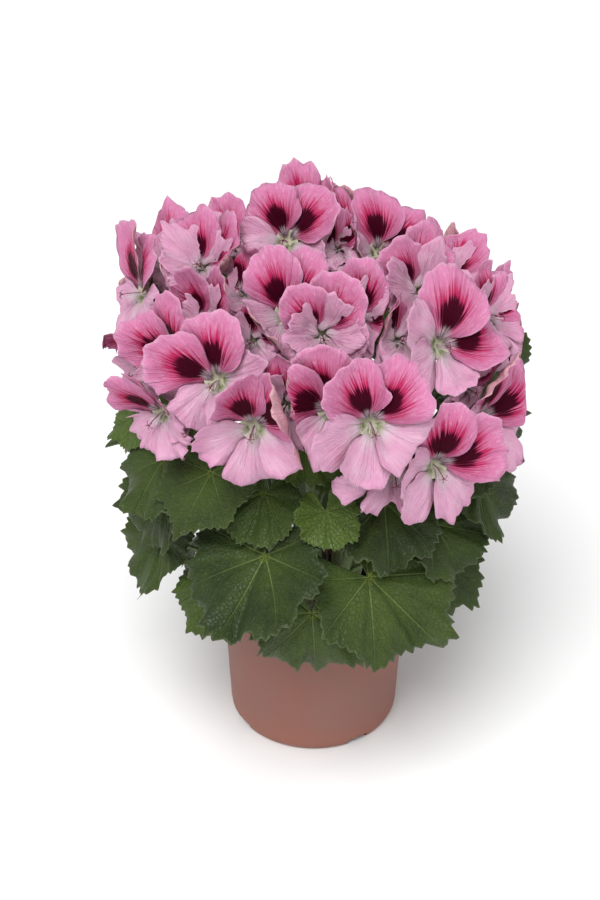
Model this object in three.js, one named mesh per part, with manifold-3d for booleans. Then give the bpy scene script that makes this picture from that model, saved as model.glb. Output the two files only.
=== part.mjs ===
// A regal pelargonium in flower, in its 12 cm nursery pot, in millimetres.
// The origin is the middle of the pot's underside, +Z is up and -Y is the front.
import * as THREE from 'three';
import { mergeVertices } from 'three/addons/utils/BufferGeometryUtils.js';
import Module from 'manifold-3d';

const wasm = await Module();
wasm.setup();

// Driving dimensions of the pot and the soil
const POT_HEIGHT = 90;
const RIM_RADIUS = 60;
const WALL = 1.6;
const BODY_TOP_RADIUS = 57.6;
const BODY_FOOT_RADIUS = 54.5;
const BASE_RADIUS = 49.5;
const HEEL_HEIGHT = 7;
const BAND_HEIGHT = 10;
const FLOOR_THICKNESS = 2;
const CHANNEL_INNER = 30;
const CHANNEL_OUTER = 44;
const CHANNEL_HEIGHT = 4;
const DRAIN_HOLE_RADIUS = 4;
const DRAIN_HOLES = 4;
const HEEL_NOTCHES = 4;
const NOTCH_WIDTH = 14;
const NOTCH_HEIGHT = 5;
const FIRST_NOTCH_AZIMUTH = 32;
const SOIL_TOP = 78;
const SOIL_GAP = 1;
const STEM_HOLE_DEPTH = 10;
const STEM_HOLE_RADIUS = 5;
const CLEARANCE = 0.35;
const SEGMENTS = 26;
const SOIL_SEGMENTS = 18;

// Driving dimensions of the plant
const PETAL_LENGTHS = [36, 36, 31, 32, 31];
const PETAL_HALF_THICKNESS = 0.6;
const PETAL_TWIST = 0.13;
const PETAL_WALL_RISE = 0.3;
const PETAL_WALL_LEAN = 1.3;
const LEAF_HALF_THICKNESS = 0.6;
const LEAF_LOBES = 7;
const LEAF_SPAN = 157.5;
const TEETH_PER_LOBE = 3;
const STEM_RADIUS = 4;
const PEDUNCLE_RADIUS = 1.9;
const PETIOLE_RADIUS = 1.5;
const STALK_INSET = 4;
const PEDICEL_RADIUS = 1.1;
const CORE_RADIUS = 3.2;
const CORE_FOOT = -1;
const CORE_TOP = 4.5;
const UMBEL_RADIUS = 5.5;
const CALYX_RADIUS = 7.5;
const CALYX_LENGTH = 10;

// How the five petals of a bloom stand: two above, one at each side and one below.
// turn is clockwise from the bloom's own up, in degrees; arc and centre are the radius and the
// distance of the rounded end, over the length; rise and fall are the slopes at claw and tip.
const PETALS = [
  { turn: -32, arc: 0.5, centre: 0.56, rise: 50, fall: -32, cup: 0.3, ruffle: 1.5 },
  { turn: 32, arc: 0.5, centre: 0.56, rise: 50, fall: -32, cup: 0.3, ruffle: 1.5 },
  { turn: 114, arc: 0.42, centre: 0.6, rise: 44, fall: -38, cup: 0.12, ruffle: 2 },
  { turn: 180, arc: 0.44, centre: 0.58, rise: 46, fall: -42, cup: 0.12, ruffle: 2 },
  { turn: 246, arc: 0.42, centre: 0.6, rise: 44, fall: -38, cup: 0.12, ruffle: 2 },
];

// The blooms of each head, placed by eye: throat x, y, z, then azimuth and elevation that the
// bloom faces, clockwise roll, size, rank (a higher one lies over its neighbours) and openness.
// Azimuth 0 is the front and 90 is +X. Each head tops one shoot: where its stem leaves the soil
// (azimuth, distance from the middle) and where its umbel lies.
const HEADS = [
  {
    root: [-95, 22],
    umbel: [-55, -8, 296],
    blooms: [
      [-64, -10, 328, -25, 58, 12, 1.0, 3, 0.6],
      [-86, 18, 312, -60, 60, 30, 1.0, 1, 0.5],
      [-98, 0, 308, -72, 18, 10, 1.08, 3, 0.95],
      [-60, -46, 314, -35, 45, 0, 0.95, 2, 0.4],
      [-40, -30, 322, -30, 60, 0, 0.95, 2, 0.3],
    ],
  },
  {
    root: [180, 8],
    umbel: [-6, 14, 300],
    blooms: [
      [-16, -4, 344, -12, 42, 14, 0.98, 3, 0.9],
      [12, -6, 338, 15, 60, 0, 0.85, 1, 0.3],
      [-6, 36, 332, -10, 62, 10, 1.0, 1, 0.4],
      [22, 38, 324, 60, 75, 0, 0.95, 1, 0.5],
      [-48, 28, 318, -50, 75, 0, 0.95, 1, 0.3],
    ],
  },
  {
    root: [95, 12],
    umbel: [50, 2, 290],
    blooms: [
      [36, 4, 332, 20, 48, 22, 0.98, 2, 0.8],
      [58, -18, 318, 28, 50, -18, 1.0, 3, 0.7],
      [76, 20, 303, 55, 60, 0, 1.0, 1, 0.5],
      [98, -4, 292, 72, 35, 20, 1.05, 1, 0.7],
    ],
  },
  {
    root: [66, 25],
    umbel: [62, -32, 262],
    blooms: [
      [68, -50, 303, 34, 28, 46, 1.18, 5, 1.0],
      [82, -58, 280, 45, 20, 0, 0.9, 1, 0.5],
      [92, -54, 256, 55, 15, 8, 1.16, 3, 0.8],
    ],
  },
  {
    root: [5, 10],
    umbel: [3, -40, 290],
    blooms: [
      [-16, -54, 325, -6, 32, 6, 1.06, 3, 0.9],
      [3, -70, 322, 4, 28, -10, 0.95, 4, 0.7],
      [22, -62, 325, 18, 35, 30, 0.95, 2, 0.6],
      [44, -62, 312, 22, 45, 0, 0.95, 1, 0.4],
      [-34, -62, 312, -15, 40, 10, 0.9, 1, 0.4],
    ],
  },
  {
    root: [-50, 24],
    umbel: [-58, -38, 266],
    blooms: [
      [-54, -72, 294, -22, 22, -24, 1.12, 5, 0.95],
      [-76, -52, 292, -42, 22, -20, 1.05, 3, 0.8],
      [-86, -60, 266, -38, 0, -10, 1.0, 2, 0.8],
      [-96, -30, 276, -62, 2, 10, 1.0, 1, 0.8],
    ],
  },
  {
    root: [-8, 26],
    umbel: [-2, -66, 264],
    blooms: [
      [-34, -92, 277, -8, 12, 8, 1.14, 4, 1.0],
      [-16, -86, 287, -10, 22, 14, 0.98, 3, 0.6],
      [8, -97, 291, -4, 16, -36, 1.1, 4, 0.9],
      [29, -104, 287, 10, 16, 4, 1.18, 6, 1.0],
    ],
  },
  {
    root: [28, 28],
    umbel: [40, -62, 240],
    blooms: [
      [66, -86, 247, 24, 8, 26, 1.16, 5, 0.95],
      [42, -92, 250, 14, -5, 10, 1.1, 2, 0.9],
    ],
  },
  {
    root: [124, 22],
    umbel: [62, 40, 266],
    blooms: [
      [62, 60, 300, 130, 45, 0, 1.0, 1, 0.8],
      [86, 72, 272, 125, 15, 0, 1.0, 1, 0.8],
      [106, 30, 268, 100, 10, 0, 1.0, 1, 0.8],
    ],
  },
  {
    root: [168, 24],
    umbel: [13, 68, 266],
    blooms: [
      [18, 76, 308, 170, 45, 0, 1.0, 1, 0.8],
      [-10, 104, 290, -175, 25, 0, 1.0, 1, 0.8],
      [42, 100, 280, 155, 20, 0, 1.0, 1, 0.8],
      [20, 108, 248, 172, 0, 0, 0.95, 1, 0.8],
    ],
  },
  {
    root: [-142, 23],
    umbel: [-48, 50, 262],
    blooms: [
      [-38, 70, 306, -150, 50, 0, 1.0, 1, 0.8],
      [-78, 58, 296, -130, 35, 0, 1.0, 1, 0.8],
      [-104, 35, 278, -105, 12, 0, 1.0, 1, 0.8],
      [-62, 92, 275, -145, 20, 0, 1.0, 1, 0.8],
      [-88, 60, 248, -125, 0, 0, 0.9, 1, 0.8],
      [-32, 102, 245, -165, 0, 0, 0.95, 1, 0.8],
    ],
  },
];

// The leaves, placed by eye: head whose shoot bears it, x, y, z of the stalk's end, azimuth and
// elevation of the upper face, roll, radius, cup, droop towards the tip in degrees, and fold.
const LEAVES = [
  [6, -29, -90, 185, -36, 54, 8, 45, 0.13, 20, 0.05],
  [7, 31, -86, 166, 22, 46, -38, 48, 0.08, 25, -0.02],
  [6, -3, -94, 151, 4, 20, -6, 34, 0.05, 30, -0.05],
  [7, 70, -58, 184, 40, 45, -35, 32, 0.1, 30, 0],
  [3, 98, -36, 198, 55, 40, -40, 31, 0.1, 30, 0],
  [3, 104, 2, 262, 50, 30, -30, 32, 0.1, 20, 0],
  [3, 108, 0, 225, 70, 30, -30, 32, 0.1, 20, 0],
  [5, -108, -14, 232, -60, 30, 20, 19, 0.1, 30, 0],
  [5, -90, -40, 218, -50, 45, 30, 31, 0.1, 30, 0],
  [5, -88, -32, 190, -50, 45, 35, 33, 0.1, 40, 0],
  [0, -93, -25, 150, -60, 45, 35, 32, 0.1, 30, 0],
  [5, -60, -60, 222, -35, 55, 20, 32, 0.1, 30, 0],
  [6, 6, -84, 212, 5, 45, -10, 20, 0.15, 20, 0],
  [5, -60, -60, 142, -40, 35, 20, 28, 0.1, 40, 0],
  [3, 74, -42, 148, 45, 35, -10, 34, 0.1, 40, 0],
  [6, -30, -68, 214, -10, 50, 20, 28, 0.1, 30, 0],
  [7, 40, -66, 206, 20, 60, 0, 36, 0.1, 30, 0],
  [3, 74, -30, 222, 45, 60, 0, 36, 0.1, 30, 0],
  [0, -74, 10, 205, -80, 60, 0, 38, 0.1, 30, 0],
  [8, 84, 22, 180, 95, 50, 0, 40, 0.1, 30, 0],
  [8, 88, 38, 225, 105, 40, 0, 38, 0.1, 30, 0],
  [10, -96, 42, 222, -105, 40, 0, 38, 0.1, 30, 0],
  [0, -82, 40, 165, -110, 45, 0, 42, 0.1, 35, 0],
  [10, -50, 80, 205, -140, 45, 0, 40, 0.1, 35, 0],
  [9, 0, 92, 215, 180, 45, 0, 40, 0.1, 35, 0],
  [9, 52, 80, 205, 145, 45, 0, 40, 0.1, 35, 0],
  [8, 74, 56, 158, 130, 45, 0, 44, 0.1, 35, 0],
  [9, 22, 82, 160, 165, 45, 0, 46, 0.1, 40, 0],
  [10, -38, 74, 158, -155, 45, 0, 46, 0.1, 40, 0],
  [8, 60, 34, 128, 120, 40, 0, 34, 0.1, 40, 0],
  [10, -58, 34, 128, -120, 40, 0, 34, 0.1, 40, 0],
  [9, 0, 68, 126, 180, 40, 0, 34, 0.1, 40, 0],
];

const material = (color, roughness) => new THREE.MeshStandardMaterial({ color, roughness, metalness: 0 });
const potMaterial = material('#a5695c', 0.6);
const soilMaterial = material('#2b211a', 1);
const greenMaterial = material('#47672c', 0.6);
const petalMaterial = material('#e08fb4', 0.55);

const vector = (x, y, z) => new THREE.Vector3(x, y, z);
const radians = THREE.MathUtils.degToRad;
const clamp = THREE.MathUtils.clamp;
const UP_HINT = vector(0, 0.56, 0.83);

// A repeatable draw between 0 and 1
function noise(n) {
  const x = Math.sin(n * 12.9898) * 43758.5453;
  return x - Math.floor(x);
}

// Azimuth and elevation in degrees as a direction
function direction(azimuth, elevation) {
  const a = radians(azimuth);
  const e = radians(elevation);
  return vector(Math.sin(a) * Math.cos(e), -Math.cos(a) * Math.cos(e), Math.sin(e));
}

// The outward axis, the up and the right of a thing that faces a direction and is rolled clockwise
function faceFrame(azimuth, elevation, roll) {
  const out = direction(azimuth, elevation);
  const up = UP_HINT.clone().addScaledVector(out, -UP_HINT.dot(out)).normalize();
  const right = up.clone().cross(out);
  const c = Math.cos(radians(roll));
  const s = Math.sin(radians(roll));
  return {
    out,
    up: up.clone().multiplyScalar(c).addScaledVector(right, s),
    right: right.clone().multiplyScalar(c).addScaledVector(up, -s),
  };
}

// A manifold solid of a closed geometry, and back again as a named mesh
function solidOf(geometry) {
  const bare = geometry.clone();
  bare.deleteAttribute('normal');
  bare.deleteAttribute('uv');
  const merged = mergeVertices(bare, 1e-4);
  return new wasm.Manifold(new wasm.Mesh({
    numProp: 3,
    vertProperties: new Float32Array(merged.attributes.position.array),
    triVerts: new Uint32Array(merged.index.array),
  }));
}

function solidFrom(points, triangles) {
  const geometry = new THREE.BufferGeometry();
  geometry.setAttribute('position', new THREE.Float32BufferAttribute(points.flatMap((p) => p.toArray()), 3));
  geometry.setIndex(triangles.flat());
  return solidOf(geometry);
}

function meshOf(solid, name, finish) {
  const { vertProperties, triVerts } = solid.getMesh();
  const geometry = new THREE.BufferGeometry();
  geometry.setAttribute('position', new THREE.BufferAttribute(new Float32Array(vertProperties), 3));
  geometry.setIndex(new THREE.BufferAttribute(new Uint32Array(triVerts), 1));
  geometry.computeVertexNormals();
  const mesh = new THREE.Mesh(geometry, finish);
  mesh.name = name;
  return mesh;
}

// The largest of a solid's loose pieces, so that scraps are dropped and sealed pockets are filled
function wholePiece(solid) {
  return solid.decompose().reduce((a, b) => (a.volume() > b.volume() ? a : b));
}

// A blade as thick as given in the middle, sharp at its edge when rimHalf is 0. Points 0 to
// rim - 1 are its outline in order, and the triangles are the same on both faces.
function blade(points, triangles, rim, half, rimHalf = 0) {
  const normals = points.map(() => vector(0, 0, 0));
  for (const [a, b, c] of triangles) {
    const normal = points[b].clone().sub(points[a]).cross(points[c].clone().sub(points[a]));
    for (const i of [a, b, c]) normals[i].add(normal);
  }
  const shift = (i, side) => {
    const thickness = i < rim ? rimHalf : half;
    return points[i].clone().addScaledVector(normals[i].normalize(), side * thickness);
  };
  const top = points.map((_, i) => shift(i, 1));
  const first = rimHalf > 0 ? 0 : rim;
  const bottom = points.slice(first).map((_, i) => shift(i + first, -1));
  const under = (i) => (i < first ? i : points.length + i - first);
  const faces = [...triangles, ...triangles.map(([a, b, c]) => [under(a), under(c), under(b)])];
  if (rimHalf > 0) {
    const edges = triangles.flatMap(([a, b, c]) => [[a, b], [b, c], [c, a]]);
    const inner = new Set(edges.map(([a, b]) => `${b} ${a}`));
    for (const [a, b] of edges) {
      if (!inner.has(`${a} ${b}`)) faces.push([b, a, under(a)], [b, under(a), under(b)]);
    }
  }
  return solidFrom([...top, ...bottom], faces);
}

// A closed tube through rings of points, which run backwards along it when reversed
function tubeSolid(points, sides, reversed) {
  const last = points.length - sides;
  const faces = [];
  for (let a = 0; a < last; a += sides) {
    for (let k = 0; k < sides; k++) {
      const b = (k + 1) % sides;
      faces.push([a + k, a + b, a + b + sides], [a + k, a + b + sides, a + k + sides]);
    }
  }
  for (let k = 1; k < sides - 1; k++) faces.push([0, k + 1, k], [last, last + k, last + k + 1]);
  return solidFrom(points, reversed ? faces.map(([a, b, c]) => [a, c, b]) : faces);
}

// A tapering stalk with flat ends along a curve
function stalk(curve, startRadius, endRadius, sides, steps) {
  const points = [];
  const side = curve.getTangent(0).cross(vector(0.31, 0.22, 0.92)).normalize();
  for (let i = 0; i <= steps; i++) {
    const t = i / steps;
    const tangent = curve.getTangent(t);
    side.addScaledVector(tangent, -side.dot(tangent)).normalize();
    const other = tangent.clone().cross(side);
    const radius = startRadius + (endRadius - startRadius) * t;
    for (let k = 0; k < sides; k++) {
      const a = (2 * Math.PI * k) / sides;
      const p = curve.getPoint(t).addScaledVector(side, radius * Math.cos(a));
      points.push(p.addScaledVector(other, radius * Math.sin(a)));
    }
  }
  return tubeSolid(points, sides, false);
}

// Every bloom with its frame, and the walls between it and its neighbours. A wall stands between
// two hearts, and leans over the bloom that lies lower in rank or higher on the plant.
function placeBlooms() {
  const blooms = HEADS.flatMap((head, h) => head.blooms.map((row) => ({ head: h, row })));
  blooms.forEach((bloom, i) => {
    const [x, y, z, azimuth, elevation, roll, size, rank, openness] = bloom.row;
    Object.assign(bloom, faceFrame(azimuth, elevation, roll), { size, rank, openness, seed: i + 1 });
    bloom.throat = vector(x, y, z);
    bloom.heart = bloom.throat.clone().addScaledVector(bloom.out, 9 * size);
  });
  const share = (a, b) => {
    const bySize = (2 * a.size) / (a.size + b.size);
    return clamp((0.5 + 0.04 * (a.rank - b.rank)) * bySize, 0.36, 0.64);
  };
  for (const bloom of blooms) {
    bloom.walls = [];
    for (const other of blooms) {
      const way = other.heart.clone().sub(bloom.heart);
      const distance = way.length();
      if (other === bloom || distance > 80) continue;
      const lean = clamp(0.28 * (bloom.rank - other.rank) + 0.8 * way.z / distance, -1.1, 1.1);
      const outward = bloom.out.clone().add(other.out).normalize();
      const normal = way.clone().divideScalar(distance).addScaledVector(outward, -lean).normalize();
      const part = share(bloom, other) / (share(bloom, other) + share(other, bloom));
      const reach = normal.dot(bloom.heart.clone().addScaledVector(way, part));
      const gap = PETAL_HALF_THICKNESS + CLEARANCE / 2;
      bloom.walls.push({ normal, reach: reach - gap, sense: lean > -0.01 ? 1 : -0.7 });
    }
  }
  return blooms;
}

// A direction in a bloom's face, turned clockwise from its up
function faceDirection(bloom, turn) {
  const a = radians(turn);
  return bloom.up.clone().multiplyScalar(Math.cos(a)).addScaledVector(bloom.right, Math.sin(a));
}

// The walls between a petal and its two neighbours, which lean so that each petal lies over the
// next one clockwise
function petalWalls(bloom, k, lean) {
  const turn = PETALS[k].turn;
  return [1, -1].map((side) => {
    const next = PETALS[(k + side + 5) % 5].turn;
    const middle = turn + (side * (((next - turn) * side + 360) % 360)) / 2;
    const line = faceDirection(bloom, middle).addScaledVector(bloom.out, PETAL_WALL_RISE).normalize();
    const above = bloom.out.clone().addScaledVector(line, -bloom.out.dot(line)).normalize();
    const across = faceDirection(bloom, middle + 90).addScaledVector(above, -lean).normalize();
    const normal = across.multiplyScalar(side);
    return { normal, reach: normal.dot(bloom.throat) - PETAL_HALF_THICKNESS };
  });
}

// A point past a wall of its petal moves back square to it. One past a wall of its bloom turns
// along that wall by most of the length that it goes past. Last, it is drawn towards the bloom's
// heart until it is inside every wall of the bloom.
function fitBloomPoint(bloom, walls, point) {
  const soft = 2.5;
  const clear = 0.8;
  for (let pass = 0; pass < 2; pass++) {
    for (const { normal, reach } of walls) {
      point.addScaledVector(normal, -clear * Math.log1p(Math.exp((point.dot(normal) - reach) / clear)));
    }
  }
  for (const pass of [0, 1]) {
    for (const { normal, reach, sense } of bloom.walls) {
      const past = point.dot(normal) - reach;
      const push = pass === 0 ? soft * Math.log1p(Math.exp(past / soft)) : Math.max(past, 0);
      const along = bloom.out.clone().addScaledVector(normal, -bloom.out.dot(normal)).normalize();
      point.addScaledVector(normal, -push);
      if (pass === 0) point.addScaledVector(along, 0.75 * sense * push);
    }
  }
  const way = point.clone().sub(bloom.heart);
  let keep = 1;
  for (const { normal, reach } of bloom.walls) {
    const room = reach - bloom.heart.dot(normal);
    const need = way.dot(normal);
    if (need > room) keep = Math.min(keep, room / need);
  }
  return bloom.heart.clone().addScaledVector(way, keep);
}

// A petal's surface: s runs across it from -1 to 1, v along it from the claw to the edge. Its
// outline is a circle seen from the claw, and its slope turns evenly from rise to fall.
function petalPoint(bloom, k, s, v) {
  const form = PETALS[k];
  const seed = bloom.seed * 7 + k * 1.7;
  const closed = 1 - bloom.openness;
  const length = PETAL_LENGTHS[k] * bloom.size * (0.94 + 0.12 * noise(seed));
  const arc = form.arc * length;
  const centre = form.centre * length;
  const phi = s * Math.asin(arc / centre);
  const edge = centre * Math.cos(phi) + Math.sqrt(Math.max(arc ** 2 - (centre * Math.sin(phi)) ** 2, 0));
  const x = v * edge * Math.sin(phi);
  const y = v * edge * Math.cos(phi);
  const rise = radians(form.rise + 22 * closed + 10 * (noise(seed + 3) - 0.5));
  const fall = radians(form.fall + 75 * closed + 26 * (noise(seed + 5) - 0.5));
  const bend = (fall - rise) / length;
  const slope = rise + bend * y;
  const run = (Math.sin(slope) - Math.sin(rise)) / bend;
  let height = -(Math.cos(slope) - Math.cos(rise)) / bend;
  height += (form.cup * (noise(seed + 7) - 0.62) * x * x) / length;
  height += form.ruffle * bloom.size * v ** 3 * Math.sin(5.2 * s + 6.28 * noise(seed + 9));
  height += PETAL_TWIST * x;
  const turn = form.turn + 8 * (noise(seed + 15) - 0.5);
  const away = faceDirection(bloom, turn);
  const across = faceDirection(bloom, turn + 90);
  const point = bloom.throat.clone().addScaledVector(bloom.out, height);
  return point.addScaledVector(away, 1.5 + run).addScaledVector(across, x);
}

// The corner of a bloom's five-sided core between petal k and the next one clockwise
function coreCorner(bloom, k, height) {
  const turn = PETALS[k].turn;
  const next = PETALS[(k + 1) % 5].turn;
  const toCorner = faceDirection(bloom, turn + ((next - turn + 360) % 360) / 2);
  return bloom.throat.clone().addScaledVector(bloom.out, height).addScaledVector(toCorner, CORE_RADIUS);
}

// A petal: a wedge from one side of the core that thins to a blade, sharp at its edge. Points 0
// to 7 go round the edge, 8 and 9 lie inside, and 10 and 11 are the corners of the core.
function petalSolid(bloom, k) {
  const { arc, centre } = PETALS[k];
  const widest = Math.asin(arc / centre);
  const points = [];
  for (let i = 0; i < 8; i++) {
    const turn = ((2 * i) / 7 - 1) * (Math.PI / 2 + widest);
    const phi = Math.atan2(arc * Math.sin(turn), centre + arc * Math.cos(turn));
    points.push(petalPoint(bloom, k, clamp(phi / widest, -1, 1), 1));
  }
  for (const s of [-0.4, 0.4]) points.push(petalPoint(bloom, k, s, 0.6));
  const upright = petalWalls(bloom, k, 0);
  const leaning = petalWalls(bloom, k, PETAL_WALL_LEAN);
  const fitted = points.map((p, i) => fitBloomPoint(bloom, i === 0 || i === 7 ? upright : leaning, p));
  const triangles = [
    [10, 11, 9], [10, 9, 8], [10, 8, 0], [11, 7, 9], [0, 8, 1], [1, 8, 2],
    [2, 8, 3], [3, 8, 9], [3, 9, 4], [4, 9, 5], [5, 9, 6], [6, 9, 7],
  ];
  const corners = (height) => [coreCorner(bloom, (k + 4) % 5, height), coreCorner(bloom, k, height)];
  const middle = [...fitted, ...corners((CORE_TOP + CORE_FOOT) / 2)];
  const normals = middle.map(() => vector(0, 0, 0));
  for (const [a, b, c] of triangles) {
    const normal = middle[b].clone().sub(middle[a]).cross(middle[c].clone().sub(middle[a]));
    for (const n of [a, b, c]) normals[n].add(normal);
  }
  const inside = (n, side) => {
    const shift = side * PETAL_HALF_THICKNESS;
    return fitted[n].clone().addScaledVector(normals[n].normalize(), shift);
  };
  const top = [inside(8, 1), inside(9, 1), ...corners(CORE_TOP)];
  const bottom = [inside(8, -1), inside(9, -1), ...corners(CORE_FOOT)];
  const under = (n) => (n < 8 ? n : n + 4);
  const faces = [...triangles, ...triangles.map(([a, b, c]) => [under(a), under(c), under(b)])];
  faces.push([10, 0, 14], [11, 15, 7], [10, 14, 11], [14, 15, 11]);
  return solidFrom([...fitted.slice(0, 8), ...top, ...bottom], faces);
}

// A bloom: five petals round a five-sided core that sits on the calyx
function bloomSolid(bloom) {
  const ring = (height) => [4, 0, 1, 2, 3].map((k) => coreCorner(bloom, k, height));
  const points = [...ring(CORE_FOOT), ...ring(CORE_TOP)];
  const sides = [0, 1, 2, 3, 4].flatMap((k) => {
    const n = (k + 1) % 5;
    return [[k, n + 5, n], [k, k + 5, n + 5]];
  });
  const ends = [[0, 1, 2], [0, 2, 3], [0, 3, 4], [5, 7, 6], [5, 8, 7], [5, 9, 8]];
  const core = solidFrom(points, [...sides, ...ends]);
  return PETALS.reduce((solid, _, k) => solid.add(petalSolid(bloom, k)), core);
}

// How far a leaf's outline lies from its stalk, at lobe number q from -3.5 to 3.5
function leafOutline(q, teeth) {
  const lobe = Math.cos(Math.PI * q) ** 2;
  const phase = q * TEETH_PER_LOBE + 0.5;
  const tooth = 2 * Math.abs(phase - Math.floor(phase) - 0.5);
  const round = (0.82 + 0.16 * lobe ** 0.6) * (1 + 0.035 * Math.cos(q * 0.9));
  return round + teeth * 0.08 * (0.5 - tooth);
}

// A leaf's surface: s runs round it from one side of the sinus to the other, v from stalk to edge
function leafPoint(leaf, s, v) {
  const q = (s * LEAF_LOBES) / 2;
  const seed = leaf.seed * 3.1;
  let psi = s * radians(LEAF_SPAN);
  const far = v * leafOutline(q, v ** 10) * (1 + 0.2 * Math.cos(psi));
  psi *= 1 + 0.07 * Math.abs(s) ** 8 * far;
  const x = leaf.radius * far * Math.sin(psi);
  const y = leaf.radius * far * Math.cos(psi);
  let height = leaf.radius * 0.05 * (0.5 - Math.cos(Math.PI * q) ** 2) * far ** 1.2;
  height += leaf.radius * leaf.cup * far ** 2;
  height += leaf.radius * 0.075 * far ** 3 * Math.sin(2.6 * psi + 6.28 * noise(seed));
  height += leaf.fold * Math.abs(x);
  const bend = (radians(leaf.droop) / leaf.radius) * (y > 0 ? 1 : -0.35);
  const slope = bend * y;
  const drop = ((1 - Math.cos(slope)) / bend) * (y > 0 ? 1 : -1);
  const reach = Math.sin(slope) / bend + height * Math.sin(slope);
  height = height * Math.cos(slope) - drop;
  const point = leaf.junction.clone().addScaledVector(leaf.right, x);
  return point.addScaledVector(leaf.up, -reach).addScaledVector(leaf.out, height);
}

// Every leaf with its frame, and the walls between leaves that would cross. Out of a few
// directions, a wall takes the one in which the two leaves reach least past each other.
function placeLeaves() {
  const leaves = LEAVES.map((row, i) => {
    const [head, x, y, z, azimuth, elevation, roll, radius, cup, droop, fold] = row;
    const frame = faceFrame(azimuth, elevation, roll);
    return { head, junction: vector(x, y, z), ...frame, radius, cup, droop, fold, seed: i + 1, walls: [] };
  });
  for (const leaf of leaves) {
    leaf.points = [];
    for (let i = 0; i < 15; i++) {
      for (const v of [0, 0.5, 1]) leaf.points.push(leafPoint(leaf, i / 7 - 1, v));
    }
    leaf.middle = leaf.points.reduce((a, p) => a.add(p), vector(0, 0, 0)).divideScalar(leaf.points.length);
  }
  const furthest = (leaf, n) => Math.max(...leaf.points.map((p) => p.dot(n)));
  const nearest = (leaf, n) => Math.min(...leaf.points.map((p) => p.dot(n)));
  leaves.forEach((a, i) => {
    for (const b of leaves.slice(i + 1)) {
      const way = b.middle.clone().sub(a.middle);
      if (way.length() > a.radius + b.radius + 5) continue;
      let best = null;
      for (const face of [a.out.clone().add(b.out), a.out.clone(), b.out.clone()]) {
        face.normalize().multiplyScalar(face.dot(way) < 0 ? -1 : 1);
        for (let k = 0; k <= 4; k++) {
          const normal = way.clone().normalize().lerp(face, k / 4).normalize();
          const over = furthest(a, normal) - nearest(b, normal);
          if (best === null || over < best.over) best = { normal, over };
        }
      }
      const { normal, over } = best;
      if (over < 1.2) continue;
      const at = (furthest(a, normal) + nearest(b, normal)) / 2;
      const gap = LEAF_HALF_THICKNESS + CLEARANCE / 2;
      a.walls.push({ normal, reach: at - gap });
      b.walls.push({ normal: normal.clone().negate(), reach: -at - gap });
    }
  });
  return leaves;
}

// A point past a wall between leaves moves back square to the wall
function fitLeafPoint(leaf, point) {
  const soft = 1.5;
  for (let pass = 0; pass < 12; pass++) {
    for (const { normal, reach } of leaf.walls) {
      const past = point.dot(normal) - reach;
      const push = pass === 0 ? soft * Math.log1p(Math.exp(past / soft)) : Math.max(past, 0);
      point.addScaledVector(normal, -push);
    }
  }
  return point;
}

// A leaf as a blade: six points round each lobe, the stalk's end, and one inside on each main vein
function leafSolid(leaf, grow = 0) {
  const edges = LEAF_LOBES * TEETH_PER_LOBE * 2;
  const perLobe = TEETH_PER_LOBE * 2;
  const points = [leafPoint(leaf, 0, 0)];
  const spread = 1 + grow / leaf.radius;
  for (let i = 0; i <= edges; i++) points.push(leafPoint(leaf, 2 * i / edges - 1, spread));
  const rim = points.length;
  const triangles = [];
  for (let lobe = 0; lobe < LEAF_LOBES; lobe++) {
    points.push(leafPoint(leaf, (2 * lobe + 1) / LEAF_LOBES - 1, 0.55));
    const inner = rim + lobe;
    const start = 1 + lobe * perLobe;
    for (let k = 0; k < perLobe; k++) triangles.push([inner, start + k, start + k + 1]);
    if (lobe > 0) triangles.push([0, inner - 1, inner], [inner - 1, start, inner]);
  }
  triangles.push([0, 1, rim], [0, rim + LEAF_LOBES - 1, rim - 1]);
  const turned = triangles.map(([a, b, c]) => [a, c, b]);
  return blade(points.map((p) => fitLeafPoint(leaf, p)), turned, rim, LEAF_HALF_THICKNESS + grow, grow);
}

// The woody stem and flower stalk of a head, from the soil up to its umbel
function stemCurve(head) {
  const [azimuth, distance] = head.root;
  const root = direction(azimuth, 0).multiplyScalar(distance).setZ(SOIL_TOP - STEM_HOLE_DEPTH);
  const umbel = vector(...head.umbel);
  const rise = umbel.z - root.z;
  const low = root.clone().setZ(root.z + 0.4 * rise);
  const high = umbel.clone().lerp(root, 0.3).setZ(umbel.z - 0.35 * rise);
  return new THREE.CubicBezierCurve3(root, low, high, umbel);
}

// The stalk of a leaf leaves the stem below the leaf and comes up under the blade
function petioleCurve(leaf, stem) {
  const rise = clamp((leaf.junction.z - 45 - SOIL_TOP) / 200, 0.07, 0.6);
  const start = stem.getPoint(rise);
  const top = leafPoint(leaf, 0, STALK_INSET / leaf.radius);
  const end = fitLeafPoint(leaf, top).addScaledVector(leaf.out, 2 * LEAF_HALF_THICKNESS);
  const bend = end.clone().addScaledVector(leaf.out, -18).lerp(start, 0.25);
  return new THREE.QuadraticBezierCurve3(start, bend, end);
}

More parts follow.
